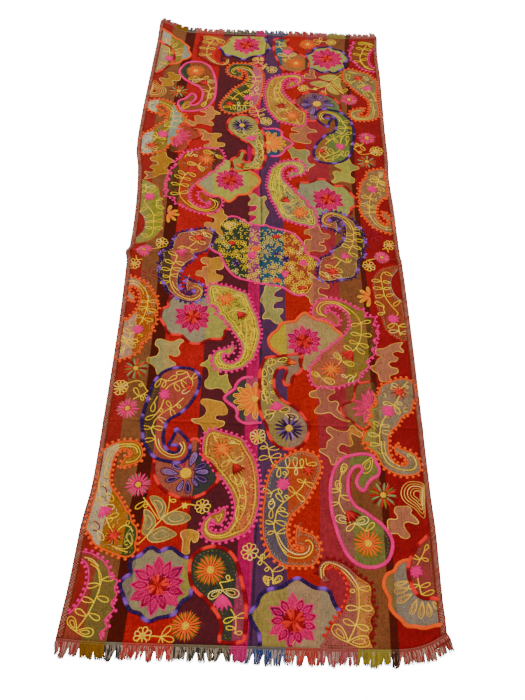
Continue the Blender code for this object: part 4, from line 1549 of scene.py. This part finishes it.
def wovenWool(name, reverse):
    # twill ground: fine diagonal ribs, uneven warp yarns and a soft felted surface, with painted shade and
    # highlight lines along the pressed folds
    desk = NodeDesk(name)
    ground = desk.node("ShaderNodeAttribute", attribute_name="woolColour").outputs["Color"]
    place = desk.node("ShaderNodeTexCoord").outputs["Object"]
    flat = desk.node("ShaderNodeVectorMath", {0: place, "Scale": millimetres}, operation="SCALE").outputs[0]
    x, y, _ = desk.split(flat)
    slanted = desk.add(x, desk.times(y, wovenLook["ribSlant"]))
    rib = desk.math("SINE", desk.times(slanted, 2 * math.pi / wovenLook["rib"]))
    pick = desk.math("SINE", desk.times(y, 2 * math.pi / wovenLook["pick"]))
    stretched = desk.node("ShaderNodeMapping", {"Vector": flat, "Scale": (1.0, 0.035, 1.0)}).outputs[0]
    streaks = desk.noise(stretched, 0.9, 4.0, 0.7)
    mottle = desk.noise(flat, 0.11, 6.0, 0.65)
    patches = desk.noise(flat, 0.022, 2.0)
    grain = desk.noise(flat, 0.6, 2.0, 0.6)
    fuzz = desk.noise(flat, 1.3, 3.0, 0.6)
    light = desk.add(1.0, desk.times(rib, wovenLook["ribShade"]))
    patterns = {"streak": streaks, "mottle": mottle, "patch": patches, "grain": grain, "fuzz": fuzz}
    for amount, pattern in patterns.items():
        light = desk.sway(light, pattern, wovenLook[amount])
    # the ground's colour takes the painted shade and highlight lines of the pressed folds
    colour = desk.lit(ground, paintFoldShadeAndHighlight(desk, light))
    flecks = desk.ramp(fuzz, [(0.0, (0, 0, 0)), (0.62, (0, 0, 0)), (0.78, (1, 1, 1))])
    flecks = desk.node("ShaderNodeSeparateColor", {0: flecks}).outputs[0]
    colour = desk.mix(desk.times(flecks, wovenLook["fleckShare"]), colour, linearColour(wovenLook["fleck"]))
    if reverse:
        spots = desk.node("ShaderNodeTexVoronoi", {"Vector": flat, "Scale": 0.16}).outputs[0]
        floats = desk.ramp(spots, [(stop, linearColour(look)) for stop, look in wovenLook["backFloats"]])
        colour = desk.mix(wovenLook["backShare"], colour, floats)
    height = desk.add(desk.times(rib, 0.5), desk.add(desk.times(pick, 0.3), desk.times(fuzz, 1.4)))
    bumps = [(patches, 0.006, 0.5), (grain, 0.0011, 0.7), (height, 0.00022, 0.6)]
    return desk.finish(colour, bumps, desk.add(0.82, desk.times(fuzz, 0.14)), sheen=0.04)


threadLooks = {
    "laidWool": {"twist": 9.0, "sheen": 0.05, "ridge": 1.6, "fleece": 0.5},
    "crewelWool": {"twist": 14.0, "sheen": 0.05, "ridge": 2.2, "fleece": 0.5},
    "satinWool": {"twist": 3.0, "sheen": 0.06, "ridge": 14.0, "fleece": 0.5},
    "turnedEdgeWool": {"twist": 6.0, "sheen": 0.04, "ridge": 3.0, "fleece": 1.0},
    "fringeWool": {"twist": 22.0, "sheen": 0.05, "ridge": 2.0, "fleece": 0.5},
}


def threadWool(name):
    # twisted embroidery wool: strands run slanted along the thread
    look, desk = threadLooks[name], NodeDesk(name)
    wool = desk.node("ShaderNodeAttribute", attribute_name="woolColour").outputs["Color"]
    along, across, _ = desk.split(desk.node("ShaderNodeUVMap", uv_map="threadPlace").outputs[0])
    slanted = desk.add(desk.times(across, look["ridge"]), along)
    strand = desk.math("SINE", desk.times(slanted, look["twist"]))
    place = desk.node("ShaderNodeTexCoord").outputs["Object"]
    fuzz, tuft = desk.noise(place, 1600.0, 3.0, 0.6), desk.noise(place, 260.0, 2.0)
    light = desk.add(1.0, desk.times(strand, 0.13))
    light = desk.sway(desk.sway(light, fuzz, 0.5 * look["fleece"]), tuft, 0.4)
    height = desk.add(desk.times(strand, 0.6), fuzz)
    roughness = desk.add(0.62, desk.times(fuzz, 0.25))
    bumps = [(height, 0.0003, 0.5)]
    return desk.finish(desk.lit(wool, light), bumps, roughness, look["sheen"], specular=0.12)


def floorPaper():
    desk = NodeDesk("paleFloor")
    grain = desk.noise(desk.node("ShaderNodeTexCoord").outputs["Object"], 60.0, 3.0)
    colour = desk.ramp(grain, [(0.3, (0.93, 0.92, 0.91)), (0.7, (0.96, 0.955, 0.95))])
    desk.feed(desk.shader.inputs["Emission Color"], colour)
    desk.shader.inputs["Emission Strength"].default_value = setting["floorGlow"]
    return desk.finish(colour, [(grain, 0.0001, 0.1)], 0.8)


sheetLook = {
    "cell": 7.0,             # size of the grid
    "clear": 2.0,            # a grid point closer than this to an outline is left out
    "outlineStep": 4.0, "stripeRows": 136, "thickness": 1.4, "leastArea": 1e-4,
}


def outlineSteps(shape, low, high):
    # a field's outline in even steps, kept on the cloth and running the left way round
    steps = smoothPath(np.concatenate([shape, shape[:1]]), step=sheetLook["outlineStep"])[:-1]
    steps[:, 0] = np.clip(steps[:, 0], low, high)
    steps[:, 1] = np.clip(steps[:, 1], 0, clothPlan["length"])
    area = np.sum(steps[:, 0] * np.roll(steps[:, 1], -1) - np.roll(steps[:, 0], -1) * steps[:, 1])
    return steps[::-1] if area < 0 else steps


def openGrid(low, high, taken):
    # an even grid, closer along the lengthwise creases, without the points that would crowd an outline
    cell, clear, length = sheetLook["cell"], sheetLook["clear"], clothPlan["length"]
    extra = [place + half * share for runs, place, half, *_ in clothPlan["creases"] if runs == "length"
             for share in (-0.6, -0.2, 0.2, 0.6)]
    across = np.sort(np.concatenate([np.linspace(low, high, int((high - low) / cell) + 1), extra]))
    cells = {}
    for u, v in taken:
        cells.setdefault((int(u // (2 * clear)), int(v // (2 * clear))), []).append((u, v))

    def crowded(u, v):
        column, row = int(u // (2 * clear)), int(v // (2 * clear))
        near = [point for a in (-1, 0, 1) for b in (-1, 0, 1)
                for point in cells.get((column + a, row + b), ())]
        return any(abs(pu - u) < clear and abs(pv - v) < clear for pu, pv in near)

    for v in np.linspace(0, length, int(length / cell) + 1):
        for u in across:
            onRim = min(u - low, high - u, v, length - v) < 0.1
            if onRim or not crowded(u, v):
                yield u, v


def groundColours(middles, owners):
    # each face takes the wool of its stripe, in the topmost field that covers it
    names = [row[0] for row in stripes]
    stripeOf = (middles[:, 0, None] > stripeEnds(middles[:, 1])).sum(axis=1).clip(0, len(stripes) - 1)
    colours = np.array([linearColour(row[4]) for row in stripes])[stripeOf]
    for index, covering in enumerate(owners):
        if covering:
            fill = fields[max(covering)][1]
            colours[index] = linearColour(fill.get(names[stripeOf[index]], next(iter(fill.values()))))
    return colours


def makeCloth(face, reverse):
    # a fine grid cut along every stripe and figure, so that each patch of ground has a clean edge
    low, high, length = hemSteps[0], hemSteps[-1], clothPlan["length"]
    points, edges = [], []

    def addPath(path):
        points.extend((float(min(max(u, low), high)), float(min(max(v, 0.0), length))) for u, v in path)
        return list(range(len(points) - len(path), len(points)))

    rowsAlong = np.linspace(0, length, sheetLook["stripeRows"])
    lines = [np.stack([ends, rowsAlong], -1) for ends in stripeEnds(rowsAlong).T[:-1]]
    for path in lines:
        made = addPath(path)
        edges += list(zip(made, made[1:]))
    shapes = [outlineSteps(shape, low, high) for shape, _ in fields]
    polygons = [addPath(steps) for steps in shapes]
    addPath(list(openGrid(low, high, np.concatenate(lines + shapes))))
    made = delaunay_2d_cdt([Vector(point) for point in points], edges, polygons, 0, 0.02, True)
    flat = np.array([tuple(point) for point in made[0]])
    faces = np.array([triangle[:3] for triangle in made[2]])
    a, b, c = flat[faces].transpose(1, 2, 0)
    area = (b[0] - a[0]) * (c[1] - a[1]) - (c[0] - a[0]) * (b[1] - a[1])
    faces[area < 0] = faces[area < 0][:, ::-1]
    keep = np.abs(area) > sheetLook["leastArea"]
    colours = groundColours(flat[faces].mean(axis=1), made[5])[keep]
    sheet = meshFromTriangles("wovenCloth", clothPoints(flat[:, 0], flat[:, 1], 0.0), faces[keep], face)
    uv = flat / [clothPlan["width"], length]
    colourMesh(sheet, np.repeat(colours, 3, axis=0), "CORNER", "clothPlace", uv)
    sheet.data.materials.append(reverse)
    selectOnly(sheet)
    wall = sheet.modifiers.new("wall", "SOLIDIFY")
    wall.thickness, wall.offset, wall.material_offset = sheetLook["thickness"] / millimetres, -1, 1
    bpy.ops.object.modifier_apply(modifier="wall")
    return sheet


def skinFaces(rings, count, flip):
    # triangles round a row of closed rings, with both ends shut
    faces = []
    for i in range(rings - 1):
        for j in range(count):
            k = (j + 1) % count
            a, b, c, d = i * count + j, i * count + k, (i + 1) * count + k, (i + 1) * count + j
            faces += [(a, b, c), (a, c, d)]
    last = (rings - 1) * count
    for j in range(1, count - 1):
        faces += [(0, j + 1, j), (last, last + j, last + j + 1)]
    return [face[::-1] for face in faces] if flip else faces


edgeLook = {
    "colour": "#86281a", "rings": 330, "waveHeight": 0.25, "waveLength": 9.0,
    # the rolled edge in section: how far in from the outside, how far up from the underside of the cloth
    "section": [
        (0.4, 0.3), (0.1, 1.0), (0.4, 1.9), (1.6, 2.4), (5.5, 2.6), (10.6, 2.4), (12.6, 2.15), (13.4, 1.78),
        (12.0, 1.72), (11.0, 1.6), (10.8, 0.1), (5.5, 0.0), (1.6, 0.0),
    ],
    "thread": "whip", "stitchPitch": 6.0, "stitchIn": 6.6, "stitchLong": 16.0, "stitchSlant": 0.817,
}


def makeTurnedEdge(name, atLeft, material, stitchRows):
    # the cloth rolled over once, with a soft rounded fold outside
    section, along = edgeLook["section"], np.linspace(0, clothPlan["length"], edgeLook["rings"])
    rings = []
    for inward, above in section:
        across = np.full(len(along), inward if atLeft else clothPlan["width"] - inward)
        ring = clothPoints(across, along, above - clothPlan["wall"])
        if above > 1:
            ring[:, 2] += edgeLook["waveHeight"] / millimetres * np.sin(along / edgeLook["waveLength"])
        rings.append(ring)
    points = np.stack(rings, 1).reshape(-1, 3)
    faces = skinFaces(len(along), len(section), flip=atLeft)
    band = meshFromTriangles(name, points, np.array(faces), material)
    colours = np.tile(linearColour(edgeLook["colour"]), (len(points), 1))
    colourMesh(band, colours, "POINT", "threadPlace", np.zeros((len(points), 2)))
    selectOnly(band)
    bpy.ops.object.mode_set(mode="EDIT")
    bpy.ops.mesh.select_all(action="SELECT")
    bpy.ops.mesh.normals_make_consistent(inside=False)
    bpy.ops.object.mode_set(mode="OBJECT")
    picker = random.Random(3 if atLeft else 4)
    middle = edgeLook["stitchIn"] if atLeft else clothPlan["width"] - edgeLook["stitchIn"]
    for place in np.arange(3.0, clothPlan["length"] - 3, edgeLook["stitchPitch"]):
        # two crossing stitches, the second lower, darker and a little further on
        for side, dark, on, base in ((1, 1.0, 0.0, 0.7), (-1, 0.7, 1.3, 0.5)):
            shade = shadeOf(edgeLook["thread"], picker.uniform(0.1, 0.9) * dark)
            u, v = middle + picker.uniform(-0.4, 0.4), place + picker.uniform(-0.4, 0.4) + on
            turn = side * edgeLook["stitchSlant"]
            stitchRows.append((u, v, turn, edgeLook["stitchLong"], 1.0, 0.8, base, place, *shade))
    return band


fringeLook = {
    "length": 30.0, "spread": 2.2, "yarns": 1900, "thick": 0.85, "pale": "#ccae94",
    "tuft": 13.0, "tuftSizes": (0.45, 1.6), "leans": (-5.0, 3.0), "round": 5.0,
    "gathers": (0.0, 0.12, 0.25, 0.45),    # how closely the yarns of a tuft are drawn together
    "plump": (40, 84),                     # tufts that start between these stay full
    "longCorner": (26, 1.35),              # yarns of the far hem up to here are this much longer
    "heading": 7.0, "headingRings": 351, "crossRows": (1.4, 3.3, 5.2), "crossPitch": 5.6, "crossThick": 0.6,
    # where each colour ends across, its yarn, its heading, how often a yarn is plain rather than pale
    "colours": [
        (44, "#b03a38", "#a84c40", 0.62), (88, "#94600e", "#90641c", 1.0), (117, "#3a3a38", "#7c7460", 0.6),
        (208, "#c83a38", "#c04038", 0.68), (311, "#3c3c30", "#7c6c50", 0.55), (341, "#d02c70", "#d42c70", 0.9),
        (408, "#2c4480", "#6c6464", 0.62), (470, "#c23a30", "#b84034", 0.66), (538, "#b44450", "#b05048", 0.75),
        (597, "#a48c28", "#a08c34", 0.9), (612, "#4a2418", "#5c3424", 0.85), (700, "#b03430", "#a8483c", 0.6),
    ],
}


class Bundle:
    # gathers many small meshes into one piece
    def __init__(self):
        self.points, self.faces, self.colours, self.uvs, self.count = [], [], [], [], 0

    def add(self, points, faces, colours, uv):
        self.faces.extend(tuple(self.count + n for n in face) for face in faces)
        self.points.append(points)
        self.colours.append(colours)
        self.uvs.append(uv)
        self.count += len(points)

    def addYarn(self, path, radius, colour, sides=4):
        # a thin closed tube round a short path, drawn in at its tip
        rings = []
        for i, point in enumerate(path):
            ahead = path[min(i + 1, len(path) - 1)] - path[max(i - 1, 0)]
            ahead = ahead / max(np.linalg.norm(ahead), 1e-9)
            aside = np.cross(ahead, (0, 0, 1.0))
            aside = aside / max(np.linalg.norm(aside), 1e-9)
            up = np.cross(aside, ahead)
            size = radius * (1.0 if i < len(path) - 1 else 0.45)
            rings.append([point + (math.cos(a) * aside + math.sin(a) * up) * size
                          for a in [2 * math.pi * (k + 0.5) / sides for k in range(sides)]])
        points = np.array(rings).reshape(-1, 3)
        run, aroundYarn = np.linspace(0, 2.5, len(path)), np.arange(sides) / 10
        uv = np.stack([np.repeat(run, sides), np.tile(aroundYarn, len(path))], -1)
        self.add(points, skinFaces(len(path), sides, flip=True), np.tile(colour, (len(points), 1)), uv)

    def finish(self, name, material):
        piece = meshFromTriangles(name, np.concatenate(self.points), np.array(self.faces), material)
        colourMesh(piece, np.concatenate(self.colours), "POINT", "threadPlace", np.concatenate(self.uvs))
        return piece


def woolAt(across):
    # the yarn, the heading and the share of plain yarns at a place along a hem
    for end, yarn, heading, plain in fringeLook["colours"]:
        if across < end:
            break
    return np.array(linearColour(yarn)), np.array(linearColour(heading)), plain


def hemFrame(across, hem, outward, reach=4.0):
    # the ways out from a hem and along it, level with the floor
    x0, y0 = planPlace(np.array([max(across - reach, 0.0)]), np.array([hem]))
    x1, y1 = planPlace(np.array([min(across + reach, clothPlan["width"])]), np.array([hem]))
    step = np.array([x1[0] - x0[0], y1[0] - y0[0]])
    step = step / math.hypot(*step)
    return outward * np.array([-step[1], step[0]]), step


def hemSpot(across, hem):
    return clothPoints(np.array([across]), np.array([hem]), np.array([0.0]))[0]


def layHeading(bundle, hem, outward, picker):
    # a flat woven strip that locks the hem, with crossing yarns on it
    width, reachOut = clothPlan["width"], fringeLook["heading"]
    section = [(-1.5, -0.35), (2.5, -0.1), (reachOut, -0.35), (reachOut + 7, -0.9), (reachOut + 7, -1.5),
               (-1.5, -1.4)]
    marks = np.linspace(0.4, width - 0.4, fringeLook["headingRings"])
    strip, colours = [], []
    for at in marks:
        yarn, heading, _ = woolAt(at)
        shade = heading * picker.uniform(0.82, 1.12)
        out, _ = hemFrame(at, hem, outward)
        spot = hemSpot(at, hem) - (0, 0, 0.0002)
        for reach, drop in section:
            point = spot + np.array([out[0] * reach, out[1] * reach, drop]) / millimetres
            point[2] = max(point[2], 0.0003)
            strip.append(point)
            colours.append(yarn * 0.5 if reach > reachOut else shade)
    size = len(section)
    uv = np.stack([np.repeat(marks, size) / 3, np.tile(np.arange(size) / 3, len(marks))], -1)
    bundle.add(np.array(strip), skinFaces(len(marks), size, flip=outward < 0), np.array(colours), uv)
    pale = np.array(linearColour(fringeLook["pale"]))
    for row, offset in enumerate(fringeLook["crossRows"]):
        for across in np.arange(0.0, width - 5.5, fringeLook["crossPitch"]):
            path = []
            for at in (across, across + 3, across + 6):
                out, _ = hemFrame(at, hem, outward)
                lift = -0.45 + 0.2 * math.sin(at)
                path.append(hemSpot(at, hem) + np.array([out[0] * offset, out[1] * offset, lift]) / millimetres)
            shade = woolAt(across + 3)[1] * picker.uniform(0.8, 1.15) + (0 if row == 1 else pale * 0.22)
            bundle.addYarn(np.array(path), fringeLook["crossThick"] / millimetres, np.clip(shade, 0, 1))


def planTufts(picker):
    # start, size, lean, how much longer, how closely drawn together
    place, width, tufts = 0.0, clothPlan["width"], []
    while place < width:
        size = fringeLook["tuft"] * picker.uniform(*fringeLook["tuftSizes"])
        tufts.append((place, min(size, width - place), picker.uniform(*fringeLook["leans"]),
                      picker.uniform(-1, 1), picker.choice(fringeLook["gathers"])))
        place += size
    return tufts


def layTuft(bundle, hem, outward, picker, start, size, lean, sag, gather):
    # loose warp yarns: side by side at first, then drawn together
    width, pale = clothPlan["width"], np.array(linearColour(fringeLook["pale"]))
    plump = fringeLook["plump"][0] < start < fringeLook["plump"][1]
    count = max(3, int(size * fringeLook["yarns"] / width))
    for i in range(count):
        across = start + size * (i + picker.uniform(0, 1)) / count
        across = min(max(across, 0.8), width - 0.8)
        yarn, _, plain = woolAt(across)
        shade = yarn if picker.random() < plain else yarn * 0.3 + pale * 0.7
        shade = np.clip(shade * picker.uniform(0.65, 1.25), 0, 1)
        out, side = hemFrame(across, hem, outward)
        x, y, z = hemSpot(across, hem)
        off = (across - start - size / 2) / (size / 2)
        length = fringeLook["length"] + sag * 3.0 + picker.uniform(-1, 1) * fringeLook["spread"]
        length -= 0 if plump else fringeLook["round"] * gather * off * off
        if outward > 0 and across < fringeLook["longCorner"][0]:
            length *= fringeLook["longCorner"][1]
        pull = -off * size / 2 * (0.1 if plump else gather)
        wiggle = picker.uniform(-0.9, 0.9)
        path = []
        for t in (0.0, 0.3, 0.62, 1.0):
            go = 5.6 + (length - 5.6) * t
            slide = pull * t * t * (3 - 2 * t) + lean * t * t + wiggle * math.sin(t * 5.0)
            level = z - 0.0007 - (z - 0.0012) * min(1.0, t * 1.25) ** 1.5 + picker.uniform(-0.0002, 0.0011)
            step = (out * go + side * slide) / millimetres
            path.append((x + step[0], y + step[1], max(level, 0.0009)))
        bundle.addYarn(np.array(path), fringeLook["thick"] / millimetres * picker.uniform(0.8, 1.15), shade)


def makeFringe(name, outward, seed, material):
    picker, bundle = random.Random(seed), Bundle()
    hem = 0.0 if outward < 0 else clothPlan["length"]
    layHeading(bundle, hem, outward, picker)
    for tuft in planTufts(picker):
        layTuft(bundle, hem, outward, picker, *tuft)
    return bundle.finish(name, material)


wools = {name: threadWool(name) for name in threadLooks}
clothSheet = makeCloth(wovenWool("wovenWoolFace", reverse=False), wovenWool("wovenWoolReverse", reverse=True))
print("cloth done:", len(clothSheet.data.polygons), "faces")
edgeStitches = []
leftEdge = makeTurnedEdge("turnedEdgeLeft", True, wools["turnedEdgeWool"], edgeStitches)
rightEdge = makeTurnedEdge("turnedEdgeRight", False, wools["turnedEdgeWool"], edgeStitches)
nearFringe = makeFringe("fringeNear", -1, 31, wools["fringeWool"])
farFringe = makeFringe("fringeFar", 1, 47, wools["fringeWool"])
print("edges and fringes done")

forms = {kind: modelStitch(kind) for kind in stitchForms}
finishes = {"bands": "laidWool", "lines": "crewelWool", "petals": "satinWool", "knots": "crewelWool"}
pieceTriangles = 190000    # more than this is shared out between several pieces
embroidery = []
for kind, near in sewing.items():
    far = []
    for row in near:
        if row[rowLength]:
            u, v = turned(np.array(row[:2]))
            far.append((u, v, row[2] + math.pi, *row[3:]))
    for half, stitches in (("Near", near), ("Far", far)):
        parts = math.ceil(len(stitches) * len(forms[kind][1]) / pieceTriangles)
        share = math.ceil(len(stitches) / parts)
        for part in range(parts):
            name = kind + half + (str(part + 1) if parts > 1 else "")
            rows = stitches[part * share:(part + 1) * share]
            embroidery.append(sewnPiece(name, forms[kind], rows, wools[finishes[kind]]))
whipping = sewnPiece("edgeWhipping", forms["lines"], edgeStitches, wools["crewelWool"])
print("embroidery done:", {piece.name: len(piece.data.polygons) for piece in embroidery + [whipping]})

bpy.context.view_layer.update()
for piece in [clothSheet, leftEdge, rightEdge, nearFringe, farFringe, whipping] + embroidery:
    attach(piece, "root")
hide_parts("shawl_panel")
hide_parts("turned_edge_left")
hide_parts("turned_edge_right")
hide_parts("fringe_near")
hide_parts("fringe_far")

# Setting: pale floor, white surroundings and soft lamps
setting = {"floor": 14.0, "floorGlow": 16.0, "world": 0.95, "key": 42.0, "fill": 14.0}
clearSelection()
bpy.ops.mesh.primitive_grid_add(x_subdivisions=8, y_subdivisions=8, size=setting["floor"],
                                location=(0, 0, -0.0003))
floor = bpy.context.object
floor.name = "paleFloor"
bpy.ops.object.transform_apply(location=True, rotation=True, scale=True)
floor.data.materials.append(floorPaper())
floor.visible_diffuse = floor.visible_glossy = False

world = bpy.context.scene.world or bpy.data.worlds.new("softRoom")
bpy.context.scene.world = world
world.use_nodes = True
sky = world.node_tree.nodes["Background"]
sky.inputs["Color"].default_value = (1, 1, 1, 1)
sky.inputs["Strength"].default_value = setting["world"]


def softLamp(name, place, size, power):
    lamp = bpy.data.lights.new(name, "AREA")
    lamp.shape, lamp.size, lamp.energy = "SQUARE", size, power
    obj = bpy.data.objects.new(name, lamp)
    bpy.context.collection.objects.link(obj)
    obj.location = place
    obj.rotation_euler = (Vector((0, 0, 0)) - Vector(place)).to_track_quat("-Z", "Y").to_euler()
    return obj


softLamp("keyLamp", (-1.6, 1.2, 2.2), 1.6, setting["key"])
softLamp("fillLamp", (1.8, -1.2, 2.4), 2.4, setting["fill"])

cameraView = {"lens": 39.09, "turn": (35.361, -2.173, 0.707), "place": (-0.0417, -1.2998, 1.4114)}
lens = bpy.data.cameras.new("photoCamera")
lens.lens, lens.sensor_width, lens.sensor_fit = cameraView["lens"], 36.0, "AUTO"
camera = bpy.data.objects.new("photoCamera", lens)
bpy.context.collection.objects.link(camera)
camera.location = (cameraView["place"][0] + shiftX, cameraView["place"][1] + shiftY, cameraView["place"][2])
camera.rotation_euler = [math.radians(a) for a in cameraView["turn"]]
bpy.context.scene.camera = camera
bpy.context.view_layer.update()
print("scene ready")
